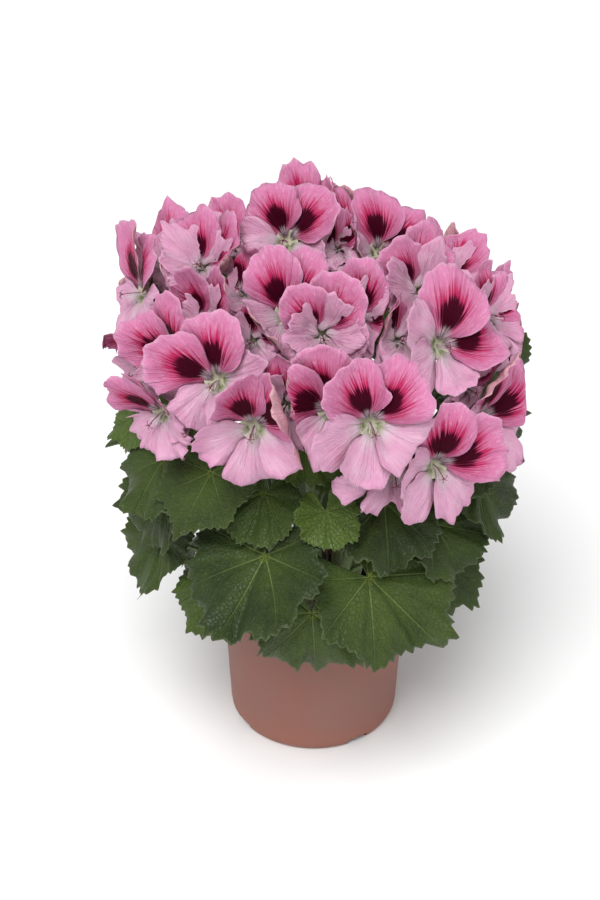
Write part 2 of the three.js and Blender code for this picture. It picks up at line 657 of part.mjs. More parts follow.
// The stalk of a bloom runs from the umbel to its back and widens into the calyx under the petals
function pedicelSolid(bloom, umbel, grow) {
  const foot = bloom.throat.clone().addScaledVector(bloom.out, -CALYX_LENGTH);
  const lip = bloom.throat.clone().addScaledVector(bloom.out, CORE_FOOT - CLEARANCE - 0.1 + grow);
  const along = foot.clone().sub(umbel).normalize();
  const rings = [
    { at: lip, axis: bloom.out, radius: CALYX_RADIUS * bloom.size },
    { at: foot, axis: bloom.out.clone().add(along).normalize(), radius: PEDICEL_RADIUS },
    { at: umbel, axis: along, radius: PEDICEL_RADIUS },
  ];
  const side = bloom.up.clone();
  const points = [];
  for (const { at, axis, radius } of rings) {
    side.addScaledVector(axis, -side.dot(axis)).normalize();
    const other = axis.clone().cross(side);
    for (let k = 0; k < 5; k++) {
      const a = (2 * Math.PI * k) / 5;
      const p = at.clone().addScaledVector(side, -(radius + grow) * Math.cos(a));
      points.push(p.addScaledVector(other, -(radius + grow) * Math.sin(a)));
    }
  }
  return tubeSolid(points, 5, true);
}

// All stalks of a head's shoot in one solid, thicker by grow
function stalksSolid(head, blooms, leaves, grow = 0) {
  const curve = stemCurve(head);
  const umbel = vector(...head.umbel);
  const knob = new THREE.OctahedronGeometry(UMBEL_RADIUS + grow, 0).translate(...head.umbel);
  const parts = [stalk(curve, STEM_RADIUS + grow, PEDUNCLE_RADIUS + grow, 5, 5), solidOf(knob)];
  for (const leaf of leaves) {
    const radius = PETIOLE_RADIUS + grow;
    parts.push(stalk(petioleCurve(leaf, curve), radius + 0.3, radius, 3, 3));
  }
  for (const bloom of blooms) {
    parts.push(pedicelSolid(bloom, umbel, grow));
  }
  return wasm.Manifold.union(parts);
}

// The pot: a tapered cup with a rim band, a floor with a raised drain channel, and heel notches
function potSolid() {
  const innerTop = BODY_TOP_RADIUS - WALL;
  const bandFoot = POT_HEIGHT - BAND_HEIGHT;
  const profile = new THREE.Path();
  profile.moveTo(0, 0);
  profile.lineTo(CHANNEL_INNER, 0);
  profile.lineTo(CHANNEL_INNER + 1, CHANNEL_HEIGHT);
  profile.lineTo(CHANNEL_OUTER - 1, CHANNEL_HEIGHT);
  profile.lineTo(CHANNEL_OUTER, 0);
  profile.lineTo(BASE_RADIUS, 0);
  profile.quadraticCurveTo(BODY_FOOT_RADIUS - 0.6, 0.6, BODY_FOOT_RADIUS, HEEL_HEIGHT);
  profile.lineTo(BODY_TOP_RADIUS, bandFoot - 1);
  profile.lineTo(RIM_RADIUS - 0.7, bandFoot);
  profile.lineTo(RIM_RADIUS, POT_HEIGHT - 0.8);
  profile.lineTo(RIM_RADIUS - 0.8, POT_HEIGHT);
  profile.lineTo(innerTop + 0.4, POT_HEIGHT);
  profile.lineTo(innerTop, bandFoot);
  profile.lineTo(BODY_FOOT_RADIUS - WALL, HEEL_HEIGHT + 1);
  profile.lineTo(CHANNEL_OUTER, FLOOR_THICKNESS + 1);
  profile.lineTo(CHANNEL_OUTER - 0.4, CHANNEL_HEIGHT + FLOOR_THICKNESS);
  profile.lineTo(CHANNEL_INNER, CHANNEL_HEIGHT + FLOOR_THICKNESS);
  profile.lineTo(CHANNEL_INNER - 1, FLOOR_THICKNESS);
  profile.lineTo(0, FLOOR_THICKNESS);
  const lathe = new THREE.LatheGeometry(profile.getPoints(2), SEGMENTS);
  lathe.rotateX(Math.PI / 2);
  let pot = solidOf(lathe);
  const middle = (CHANNEL_INNER + CHANNEL_OUTER) / 2;
  for (let i = 0; i < DRAIN_HOLES; i++) {
    const hole = new THREE.CylinderGeometry(DRAIN_HOLE_RADIUS, DRAIN_HOLE_RADIUS, 12, 8);
    hole.rotateX(Math.PI / 2);
    const at = direction((360 * i) / DRAIN_HOLES, 0).multiplyScalar(middle);
    pot = pot.subtract(solidOf(hole.translate(at.x, at.y, 5)));
  }
  for (let i = 0; i < HEEL_NOTCHES; i++) {
    const azimuth = FIRST_NOTCH_AZIMUTH + (360 * i) / HEEL_NOTCHES;
    const notch = new THREE.BoxGeometry(NOTCH_WIDTH, BODY_TOP_RADIUS - CHANNEL_OUTER + 4, 2 * NOTCH_HEIGHT);
    notch.translate(0, -(CHANNEL_OUTER + BODY_TOP_RADIUS) / 2 - 1.5, 0).rotateZ(radians(azimuth));
    pot = pot.subtract(solidOf(notch));
  }
  return pot;
}

// The growing medium: a low mound that fills the pot from its floor, with a plain hole for each stem
function soilSolid() {
  const top = BODY_TOP_RADIUS - WALL - SOIL_GAP;
  const foot = BODY_FOOT_RADIUS - WALL - SOIL_GAP;
  const floor = CHANNEL_HEIGHT + FLOOR_THICKNESS;
  const rings = [[foot, floor + 4], [top, SOIL_TOP - 2], [top * 0.6, SOIL_TOP], [top * 0.25, SOIL_TOP]];
  const points = [vector(0, 0, floor + CLEARANCE), vector(0, 0, SOIL_TOP + 1)];
  const triangles = [];
  rings.forEach(([radius, z], r) => {
    for (let k = 0; k < SOIL_SEGMENTS; k++) {
      const bump = r > 1 ? 2.4 * (noise(r * 31 + k) - 0.5) : 0;
      points.push(direction((360 * k) / SOIL_SEGMENTS, 0).multiplyScalar(radius).setZ(z + bump));
      const a = 2 + r * SOIL_SEGMENTS + k;
      const b = 2 + r * SOIL_SEGMENTS + ((k + 1) % SOIL_SEGMENTS);
      if (r === 0) triangles.push([0, b, a]);
      const [c, d] = [b + SOIL_SEGMENTS, a + SOIL_SEGMENTS];
      if (r < rings.length - 1) triangles.push([a, b, c], [a, c, d]);
      else triangles.push([a, b, 1]);
    }
  });
  let soil = solidFrom(points, triangles);
  for (const head of HEADS) {
    const at = stemCurve(head).getPoint(0);
    const depth = 3 * STEM_HOLE_DEPTH;
    const hole = new THREE.CylinderGeometry(STEM_HOLE_RADIUS, STEM_HOLE_RADIUS, depth, 5);
    hole.rotateX(Math.PI / 2).translate(at.x, at.y, at.z + depth / 2 - CLEARANCE);
    soil = soil.subtract(solidOf(hole));
  }
  return soil;
}

// The whole plant. Blades make room for the stalks and blades of the shoots before them, and
// blooms for all of the green.
function plantSolids() {
  const blooms = placeBlooms();
  const leaves = placeLeaves();
  const shoots = HEADS.map((head, h) => {
    const own = blooms.filter((bloom) => bloom.head === h);
    const borne = leaves.filter((leaf) => leaf.head === h);
    const grown = borne.map((leaf) => leafSolid(leaf, CLEARANCE));
    return {
      stalks: stalksSolid(head, own, borne),
      stalkRoom: stalksSolid(head, own, borne, CLEARANCE),
      bladeRoom: grown.length > 0 ? wasm.Manifold.union(grown) : null,
      blades: borne.map((leaf) => leafSolid(leaf)),
    };
  });
  const green = shoots.map((shoot, h) => {
    let solid = shoot.stalks;
    for (let blade of shoot.blades) {
      shoots.forEach((other, o) => {
        if (o !== h) blade = blade.subtract(other.stalkRoom);
      });
      solid = solid.add(blade);
    }
    return wholePiece(solid);
  });
  const pink = blooms.map((bloom) => {
    let solid = bloomSolid(bloom);
    for (const { stalkRoom, bladeRoom } of shoots) {
      solid = solid.subtract(stalkRoom);
      if (bladeRoom) solid = solid.subtract(bladeRoom);
    }
    return wholePiece(solid);
  });
  return { green, pink };
}

const plant = new THREE.Group();
plant.name = 'potted_geranium';
plant.add(meshOf(potSolid(), 'pot', potMaterial));
plant.add(meshOf(soilSolid(), 'soil', soilMaterial));
const { green, pink } = plantSolids();
const twoDigits = (n) => String(n).padStart(2, '0');
green.forEach((solid, i) => plant.add(meshOf(solid, `shoot_${twoDigits(i + 1)}`, greenMaterial)));
pink.forEach((solid, i) => plant.add(meshOf(solid, `bloom_${twoDigits(i + 1)}`, petalMaterial)));

export default plant;
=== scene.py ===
import bpy
from itertools import combinations
from math import asin, ceil, cos, pi, radians, sin
import numpy as np
from numpy.linalg import norm
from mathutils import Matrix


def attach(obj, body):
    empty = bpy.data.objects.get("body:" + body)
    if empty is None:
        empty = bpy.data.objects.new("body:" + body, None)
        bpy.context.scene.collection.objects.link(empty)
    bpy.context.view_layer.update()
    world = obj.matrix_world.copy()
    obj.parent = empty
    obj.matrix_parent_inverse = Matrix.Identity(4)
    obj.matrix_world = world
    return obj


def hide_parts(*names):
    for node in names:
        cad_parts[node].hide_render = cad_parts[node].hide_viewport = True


# A regal pelargonium in flower in its nursery pot. Shapes are worked out in millimetres in the
# frame of the solids and put into meshes in metres: +Z is up and -Y is the front.
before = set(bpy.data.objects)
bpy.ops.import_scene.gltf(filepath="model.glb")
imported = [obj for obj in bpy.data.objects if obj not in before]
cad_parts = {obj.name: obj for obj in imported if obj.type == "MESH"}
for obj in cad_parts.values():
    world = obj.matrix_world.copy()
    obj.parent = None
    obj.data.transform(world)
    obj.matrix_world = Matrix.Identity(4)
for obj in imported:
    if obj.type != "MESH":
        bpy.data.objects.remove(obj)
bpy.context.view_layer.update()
print("frame:", len(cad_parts), "solids")
millimetre = 0.001  # of a metre


# numbers and directions
def noise(n):
    x = np.sin(np.asarray(n, float) * 12.9898) * 43758.5453  # a repeatable draw between 0 and 1
    return x - np.floor(x)


def phase(n):
    return 6.28 * noise(n)  # a drawn start for a sine


def unit(v):
    # each vector over its length
    return v / norm(v, axis=-1, keepdims=True)


def direction(azimuth, elevation):
    a, e = radians(azimuth), radians(elevation)  # azimuth 0 is the front, 90 is +X
    return np.array([sin(a) * cos(e), -cos(a) * cos(e), sin(e)])


def faceFrame(azimuth, elevation, roll):
    # outward axis, then up and right as seen from outside, turned clockwise by roll
    out = direction(azimuth, elevation)
    hint = np.array([0.0, 0.56, 0.83])
    up = unit(hint - hint @ out * out)
    right = np.cross(up, out)
    c, s = cos(radians(roll)), sin(radians(roll))
    return dict(out=out, up=c * up + s * right, right=c * right - s * up)


def softPast(past, soft):
    return soft * np.logaddexp(0, past / soft)  # about 0 inside a wall, and about past beyond it


def smooth(low, high, x):
    # an even S-shaped step from 0 at low to 1 at high
    t = np.clip((x - low) / (high - low), 0, 1)
    return t * t * (3 - 2 * t)


# surfaces into meshes. A shape is a dictionary of points, quads and values for each point.
def gridQuads(columns, rows, wrap=False):
    # quads of a grid whose points run along rows first; wrap joins the last column to the first
    i, j = np.meshgrid(np.arange(columns if wrap else columns - 1), np.arange(rows - 1), indexing="ij")
    k = (i + 1) % columns
    return np.stack([i * rows + j, k * rows + j, k * rows + j + 1, i * rows + j + 1], -1).reshape(-1, 4)


def sheetShape(grid, half, u, v, **values):
    # a thin closed blade: the grid moved out and back along its normals by half, joined by a rim
    columns, rows = grid.shape[:2]
    normal = np.cross(*np.gradient(grid, axis=(0, 1)))
    normal = normal / np.maximum(norm(normal, axis=-1, keepdims=True), 1e-9)
    count = columns * rows
    front = gridQuads(columns, rows)
    number = np.arange(count).reshape(columns, rows)
    edge = np.concatenate([number[:, 0], number[-1, 1:], number[-2::-1, -1], number[0, -2:0:-1]])
    after = np.roll(edge, -1)
    rim = np.stack([after, edge, edge + count, after + count], -1)
    back = front[:, [0, 3, 2, 1]] + count  # split along the same diagonals as the front
    return dict(
        points=np.stack([grid + normal * half, grid - normal * half]).reshape(-1, 3),
        quads=np.concatenate([front, back, rim]), uv=np.tile(np.stack([u, v], -1).reshape(-1, 2), (2, 1)),
        reverse=np.repeat([0.0, 1.0], count), smooth=np.arange(2 * len(front) + len(rim)) < 2 * len(front),
        **values)


def closedQuads(sides, rows):
    # the quads of rings along a path, and a fan at each end to a point numbered after the rings
    i = np.arange(sides) * rows
    k, tip = np.roll(i, -1), np.full(sides, sides * rows)
    start = np.stack([tip, k, i, i], -1)
    end = np.stack([tip + 1, i + rows - 1, k + rows - 1, k + rows - 1], -1)
    return np.concatenate([gridQuads(sides, rows, wrap=True), start, end])


def ringOf(sides, first, second):
    # steps out of length 1, evenly round from the first axis towards the second
    angle = (np.arange(sides) * 2 * pi / sides)[:, None, None]
    return np.cos(angle) * first + np.sin(angle) * second


def tubeShape(path, radius, sides=8, finish=0):
    # rings of a given radius, for each point or for each side and point, round a path
    tangent = unit(np.gradient(path, axis=0))
    side = unit(np.cross(tangent, np.array([0.31, 0.22, 0.92])))  # square to the path, hardly along it
    ring = ringOf(sides, side, np.cross(tangent, side))
    radius = np.broadcast_to(radius, (sides, len(path)))
    points = np.concatenate([(path + ring * radius[..., None]).reshape(-1, 3), path[:1], path[-1:]])
    return dict(points=points, quads=closedQuads(sides, len(path)), finish=finish)


def bentShape(points, count, radius, sides, finish=0):
    # a tube along a curve, whose radius changes evenly from the first value to the last
    return tubeShape(bezier(points, count), np.linspace(*radius, count), sides, finish)


def turnedShape(foot, axes, heights, radius, ends):
    # a round form about an axis: rings of a given radius for each side and row, at given heights
    # over its foot, closed by a point on the axis at each of two end heights
    sides, rows = radius.shape
    ring = ringOf(sides, axes["up"], -axes["right"])
    points = foot + heights[..., None] * axes["out"] + ring * radius[..., None]
    tips = foot + np.array(ends)[:, None] * axes["out"]
    return dict(points=np.concatenate([points.reshape(-1, 3), tips]), quads=closedQuads(sides, rows))


def placed(name, data):
    # a new object in the scene
    thing = bpy.data.objects.new(name, data)
    bpy.context.scene.collection.objects.link(thing)
    return thing


def putMesh(name, shapes, materials, stands):
    # joins shapes into one object at the origin, in metres; a quad whose last two points are the
    # same is a triangle. A shape's "finish" is the number of its material, its "smooth" tells
    # which quads are shaded smooth, and any other value in it becomes an attribute.
    def spread(key, usual, each):
        return np.concatenate([np.broadcast_to(s.get(key, usual), len(s[each])) for s in shapes])

    start = np.cumsum([0] + [len(s["points"]) for s in shapes])
    points = np.concatenate([s["points"] for s in shapes]) * millimetre
    quads = np.concatenate([s["quads"] + a for s, a in zip(shapes, start)])
    corners = np.where(quads[:, 2] == quads[:, 3], 3, 4)
    kept = np.arange(4)[None] < corners[:, None]
    mesh = bpy.data.meshes.new(name)
    mesh.vertices.add(len(points))
    mesh.vertices.foreach_set("co", points.ravel())
    mesh.loops.add(int(corners.sum()))
    mesh.loops.foreach_set("vertex_index", quads[kept])
    mesh.polygons.add(len(quads))
    mesh.polygons.foreach_set("loop_start", np.concatenate([[0], np.cumsum(corners)[:-1]]))
    mesh.polygons.foreach_set("material_index", spread("finish", 0, "quads"))
    mesh.polygons.foreach_set("use_smooth", spread("smooth", True, "quads"))
    mesh.update(calc_edges=True)
    for key in sorted({k for s in shapes for k in s} - {"points", "quads", "uv", "finish", "smooth"}):
        mesh.attributes.new(key, "FLOAT", "POINT").data.foreach_set("value", spread(key, 0.0, "points"))
    uv = [np.broadcast_to(s.get("uv", 0.0), (len(s["points"]), 2)) for s in shapes]
    layer = mesh.uv_layers.new(name="surface")
    layer.data.foreach_set("uv", np.concatenate(uv)[quads[kept]].ravel())
    for material in materials:
        mesh.materials.append(material)
    thing = placed(name, mesh)
    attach(thing, "root")
    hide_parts(*stands)
    return thing


def bezier(points, count):
    # a Bezier curve through 3 or 4 control points, as count points along it
    p = np.array(points, float)
    t = np.linspace(0, 1, count)[:, None]
    while len(p) > 1:
        p = [a * (1 - t) + b * t for a, b in zip(p[:-1], p[1:])]
    return p[0]


# materials. Patterns are worked out from the surface's own map and values.
def newMaterial(name, colour, roughness, **settings):
    # a plain material; its other settings are given by the sockets' names with _ for spaces
    material = bpy.data.materials.new(name)
    material.use_nodes = True
    shader = material.node_tree.nodes["Principled BSDF"]
    shader.inputs["Base Color"].default_value = (*colour, 1)
    shader.inputs["Roughness"].default_value = roughness
    for socket, given in settings.items():
        shader.inputs[socket.replace("_", " ")].default_value = given
    return material, material.node_tree, shader


def put(socket, given):
    # links a node's output to a socket, or sets a number or a colour on it
    if isinstance(given, bpy.types.NodeSocket):
        socket.id_data.links.new(given, socket)
    elif isinstance(given, tuple):
        socket.default_value = (*given, 1)
    else:
        socket.default_value = given


def newNode(kind, *given):
    # a node in the tree of the outputs that are given to its sockets one after another
    tree = next(g.id_data for g in given if isinstance(g, bpy.types.NodeSocket))
    node = tree.nodes.new("ShaderNode" + kind)
    for socket, g in zip(node.inputs, given):
        put(socket, g)
    return node


def calc(operation, *given, clamp=False):
    node = newNode("Math", *given)
    node.operation, node.use_clamp = operation, clamp
    return node.outputs[0]


def times(first, second):
    return calc("MULTIPLY", first, second)


def linear(number, slope, start, clamp=False):
    # a number times the slope, and the start added
    return calc("MULTIPLY_ADD", number, slope, start, clamp=clamp)


def span(number, low, high, start=0.0, end=1.0):
    # a smooth step from start at low to end at high
    node = newNode("MapRange", number, low, high, start, end)
    node.interpolation_type = "SMOOTHSTEP"
    return node.outputs[0]


def blend(share, first, second):
    # the first colour where share is 0, and the second where it is 1
    node = share.id_data.nodes.new("ShaderNodeMix")
    node.data_type = "RGBA"
    for name, given in (("Factor", share), ("A", first), ("B", second)):
        put(node.inputs[name], given)
    return node.outputs["Result"]


def layered(look, base, layers):
    # colours laid over a base one after another: each by a share, times how strong it is at most
    colour = look[base]
    for share, strength, over in layers:
        share = share if strength == 1 else times(share, strength)
        colour = blend(share, colour, look[over] if isinstance(over, str) else over)
    return colour


def value(tree, name):
    # the attribute that putMesh gave to the points
    node = tree.nodes.new("ShaderNodeAttribute")
    node.attribute_name = name
    return node.outputs["Fac"]


def partsOf(vector):
    return newNode("SeparateXYZ", vector).outputs


def objectPlace(tree):
    return tree.nodes.new("ShaderNodeTexCoord").outputs["Object"]


def surfaceMap(tree):
    # u and v of the piece's own map
    node = tree.nodes.new("ShaderNodeUVMap")
    node.uv_map = "surface"
    return partsOf(node.outputs[0])[:2]


def mottle(place, scale, detail):
    # noise between 0 and 1 at a place, which is a vector output
    node = newNode("TexNoise", place)
    for name, given in (("Scale", scale), ("Detail", detail), ("Roughness", 0.6)):
        node.inputs[name].default_value = given
    return node.outputs[0]


def bump(shader, height, distance, strength=1.0):
    node = height.id_data.nodes.new("ShaderNodeBump")
    node.inputs["Distance"].default_value = distance
    node.inputs["Strength"].default_value = strength
    put(node.inputs["Height"], height)
    put(shader.inputs["Normal"], node.outputs[0])


def makePetalMaterial():
    # u runs across a petal and v from claw to edge, so veins are lines of one u
    look = dict(
        pink=(0.54, 0.135, 0.29), paleUpper=(0.62, 0.25, 0.43), lower=(0.66, 0.28, 0.46),
        lowerPale=(0.72, 0.46, 0.59), crimson=(0.42, 0.005, 0.07), blotch=(0.045, 0.0005, 0.009),
        throat=(0.58, 0.47, 0.52), throatGreen=(0.36, 0.42, 0.20), vein=(0.10, 0.006, 0.04),
        back=(0.66, 0.44, 0.44), backPink=(0.60, 0.25, 0.34), white=(0.74, 0.62, 0.67),
        # patches: middle and length along the petal, half width, how far rays run out, and the
        # distances at which the patch starts and is full
        blotchPatch=(0.37, 0.23, 0.44, 0.7, 1.08, 0.78),
        haloPatch=(0.39, 0.35, 0.60, 0.95, 1.10, 0.62),
        blushPatch=(0.42, 0.60, 1.0, 0.5, 1.15, 0.3),
    )
    material, tree, shader = newMaterial(
        "petal", look["pink"], 0.55, Specular_IOR_Level=0.05, Subsurface_Weight=0.08,
        Subsurface_Radius=(1.0, 0.5, 0.7), Subsurface_Scale=0.0015)
    u, v = surfaceMap(tree)
    s = linear(u, 2.0, -1.0)
    tint, upper, reverse = value(tree, "tint"), value(tree, "upper"), value(tree, "reverse")
    seed = times(tint, 37.0)

    def lines(across, along):
        # noise drawn out along the petal: across is how many times it changes over the width
        place = newNode("CombineXYZ", times(s, across), times(v, along), seed).outputs[0]
        return mottle(place, 1.0, 2.0)

    broad, fine, hair = lines(9.0, 1.0), lines(40.0, 1.0), lines(75.0, 2.5)
    dash = lines(56.0, 18.0)
    cloud, grit = lines(1.6, 2.5), lines(22.0, 11.0)

    def oval(middle, length, width):
        # 1 at the edge of an oval patch on the petal, less inside it
        a = calc("DIVIDE", calc("SUBTRACT", v, middle), length)
        b = calc("DIVIDE", s, width)
        return calc("SQRT", calc("ADD", times(a, a), times(b, b)))

    def patch(middle, length, width, reach, start, full):
        # an oval whose edge runs out in rays by broad and fine lines
        both = calc("ADD", times(broad, 0.5), times(fine, 2.0))
        rays = times(calc("SUBTRACT", both, 1.25), reach)
        return span(calc("SUBTRACT", oval(middle, length, width), rays), start, full)

    def streaked(low, high, ragged):
        # a step along the petal whose edge is ragged by the fine lines
        return span(linear(calc("SUBTRACT", fine, 0.5), ragged, v), low, high)

    blotch, halo, blush = (patch(*look[name]) for name in ("blotchPatch", "haloPatch", "blushPatch"))
    veins = span(calc("ABSOLUTE", calc("SUBTRACT", hair, 0.5)), 0.05, 0.0)
    flecks = times(span(dash, 0.60, 0.68), span(oval(0.45, 0.5, 0.9), 1.2, 0.5))
    shade = linear(cloud, 1.6, -0.3, clamp=True)
    edge = span(v, 0.66, 1.0)
    claws = blend(span(fine, 0.50, 0.56), look["throat"], look["vein"])
    top = layered(look, "pink", (
        (shade, 0.6, "paleUpper"), (edge, 0.75, "paleUpper"),
        (span(grit, 0.45, 0.80, 0.0, 0.25), 1, "white"),
        (veins, 0.16, "crimson"), (blush, 0.16, "crimson"), (flecks, 0.45, "crimson"),
        (halo, 0.9, "crimson"), (blotch, 1, "blotch"), (span(v, 0.96, 1.0), 0.2, "white"),
        (streaked(0.25, 0.14, 0.22), 1, claws),
    ))
    low = layered(look, "lower", (
        (shade, 1, "lowerPale"), (veins, 0.14, "pink"), (edge, 0.3, "paleUpper"),
        (span(grit, 0.45, 0.8, 0.0, 0.3), 1, "lowerPale"),
        (streaked(0.46, 0.12, 0.35), 0.85, "white"),
        (times(span(fine, 0.60, 0.64), span(v, 0.3, 0.15)), 1, "vein"),
        (span(v, 0.24, 0.08), 1, "throatGreen"), (span(v, 0.97, 1.0), 0.15, "white"),
    ))
    behind = layered(look, "back", (
        (shade, 1, "backPink"), (veins, 0.25, "pink"), (times(halo, upper), 0.3, "crimson"),
        (span(v, 0.2, 0.0), 1, "throatGreen"),
    ))
    front = blend(upper, low, top)
    put(shader.inputs["Base Color"], blend(reverse, front, behind))
    put(shader.inputs["Roughness"], span(fine, 0.3, 0.7, 0.5, 0.65))
    relief = linear(broad, 2.0, calc("ADD", fine, grit))
    relief = linear(hair, 0.6, relief)
    bump(shader, relief, 0.0008, 0.9)
    return material


def makeLeafMaterial():
    # u runs round the blade, with a main vein at the middle of each of the seven lobes
    look = dict(
        dark=(0.016, 0.031, 0.004), light=(0.052, 0.086, 0.009), vein=(0.13, 0.19, 0.045),
        heart=(0.20, 0.26, 0.04), edge=(0.11, 0.14, 0.06), back=(0.085, 0.125, 0.05),
        young=(0.085, 0.14, 0.016),
    )
    material, tree, shader = newMaterial("leaf", look["dark"], 0.5, Sheen_Weight=0.03, Specular_IOR_Level=0.3)
    u, v = surfaceMap(tree)
    lobe = linear(u, 7.0, -3.5)
    off = calc("ABSOLUTE", calc("SUBTRACT", lobe, calc("ROUND", lobe)))
    aside = times(times(off, v), 0.785)
    tint, reverse = value(tree, "tint"), value(tree, "reverse")
    seed = times(tint, 23.0)
    drift = mottle(newNode("CombineXYZ", times(u, 16.0), times(v, 3.0), seed).outputs[0], 1.0, 2.0)
    main = span(linear(v, 0.008, aside), 0.020, 0.006)
    bow = linear(times(aside, aside), 1.3, times(aside, -2.0))
    slant = linear(drift, 0.22, calc("ADD", bow, v))
    branch = calc("PINGPONG", times(slant, 6.0), 0.5)
    branch = times(span(branch, 0.07, 0.015), span(v, 0.2, 0.45))
    net = newNode("TexVoronoi", objectPlace(tree))
    net.feature = "DISTANCE_TO_EDGE"
    net.inputs["Scale"].default_value = 380.0
    mesh = span(net.outputs["Distance"], 0.12, 0.0)
    cloud = mottle(objectPlace(tree), 55.0, 4.0)
    tone = linear(cloud, 1.5, linear(tint, 0.6, -0.75), clamp=True)
    tone = linear(span(v, 0.75, 0.1), 0.3, tone, clamp=True)
    face = layered(look, "dark", (
        (tone, 1, "light"), (mesh, 0.12, "light"), (branch, 0.16, "vein"),
        (times(main, span(v, 1.0, 0.1, 0.25, 0.8)), 0.9, "vein"),
        (value(tree, "young"), 0.7, "young"), (span(v, 0.12, 0.0), 1, "heart"),
        (span(v, 0.965, 1.0), 0.6, "edge"),
    ))
    veins = calc("MAXIMUM", main, times(branch, 0.6))
    under = layered(look, "back", ((veins, 0.6, "vein"),))
    put(shader.inputs["Base Color"], blend(reverse, face, under))
    put(shader.inputs["Roughness"], span(cloud, 0.3, 0.7, 0.46, 0.6))
    rise = linear(veins, -1.0, times(mesh, -0.35))
    rise = linear(mottle(objectPlace(tree), 420.0, 2.0), 0.5, rise)
    bump(shader, rise, 0.0009, 0.9)
    return material


def makeStalkMaterial():
    look = dict(green=(0.065, 0.11, 0.022), pale=(0.14, 0.20, 0.06), wood=(0.08, 0.05, 0.025))
    material, tree, shader = newMaterial("stalk", look["green"], 0.6, Sheen_Weight=0.1)
    height = partsOf(objectPlace(tree))[2]
    fleck = mottle(objectPlace(tree), 260.0, 3.0)
    colour = blend(fleck, look["green"], look["pale"])
    woody = span(linear(fleck, 0.03, height), 0.15, 0.095)
    put(shader.inputs["Base Color"], blend(woody, colour, look["wood"]))
    bump(shader, fleck, 0.0003, 0.6)
    return material


def makePotMaterial():
    # dusty matte plastic, a little more orange where the light catches its foot
    look = dict(clay=(0.245, 0.098, 0.075), dust=(0.235, 0.115, 0.095), warm=(0.32, 0.122, 0.082))
    material, tree, shader = newMaterial("potPlastic", look["clay"], 0.55, Specular_IOR_Level=0.35)
    height = partsOf(objectPlace(tree))[2]
    cloud, grain = mottle(objectPlace(tree), 22.0, 5.0), mottle(objectPlace(tree), 900.0, 2.0)
    put(shader.inputs["Base Color"], layered(look, "clay", (
        (span(cloud, 0.35, 0.7), 1, "dust"), (span(height, 0.03, 0.0, 0.0, 0.45), 1, "warm"),
    )))
    put(shader.inputs["Roughness"], span(cloud, 0.3, 0.7, 0.5, 0.68))
    bump(shader, grain, 0.0002, 0.35)
    return material


def makeSoilMaterial():
    look = dict(dark=(0.012, 0.008, 0.005), brown=(0.05, 0.03, 0.018), fibre=(0.13, 0.085, 0.05))
    material, tree, shader = newMaterial("peat", look["dark"], 0.95)
    crumb, fleck = mottle(objectPlace(tree), 300.0, 5.0), mottle(objectPlace(tree), 900.0, 2.0)
    put(shader.inputs["Base Color"], layered(look, "dark", (
        (crumb, 1, "brown"), (span(fleck, 0.62, 0.72), 1, "fibre"),
    )))
    bump(shader, crumb, 0.002, 1.0)
    return material


def makePlainMaterial(name, colour, other, roughness):
    # two close tones in fine flecks, for filaments, buds and the style
    material, tree, shader = newMaterial(name, colour, roughness)
    put(shader.inputs["Base Color"], blend(mottle(objectPlace(tree), 800.0, 2.0), colour, other))
    return material


petalMaterial = makePetalMaterial()
leafMaterial = makeLeafMaterial()
stalkMaterial = makeStalkMaterial()
potMaterial = makePotMaterial()
soilMaterial = makeSoilMaterial()
filamentMaterial = makePlainMaterial("filament", (0.75, 0.66, 0.70), (0.60, 0.50, 0.52), 0.5)
budMaterial = makePlainMaterial("bud", (0.60, 0.20, 0.34), (0.66, 0.42, 0.46), 0.55)
styleMaterial = makePlainMaterial("style", (0.10, 0.008, 0.03), (0.22, 0.02, 0.07), 0.4)
print("materials made")
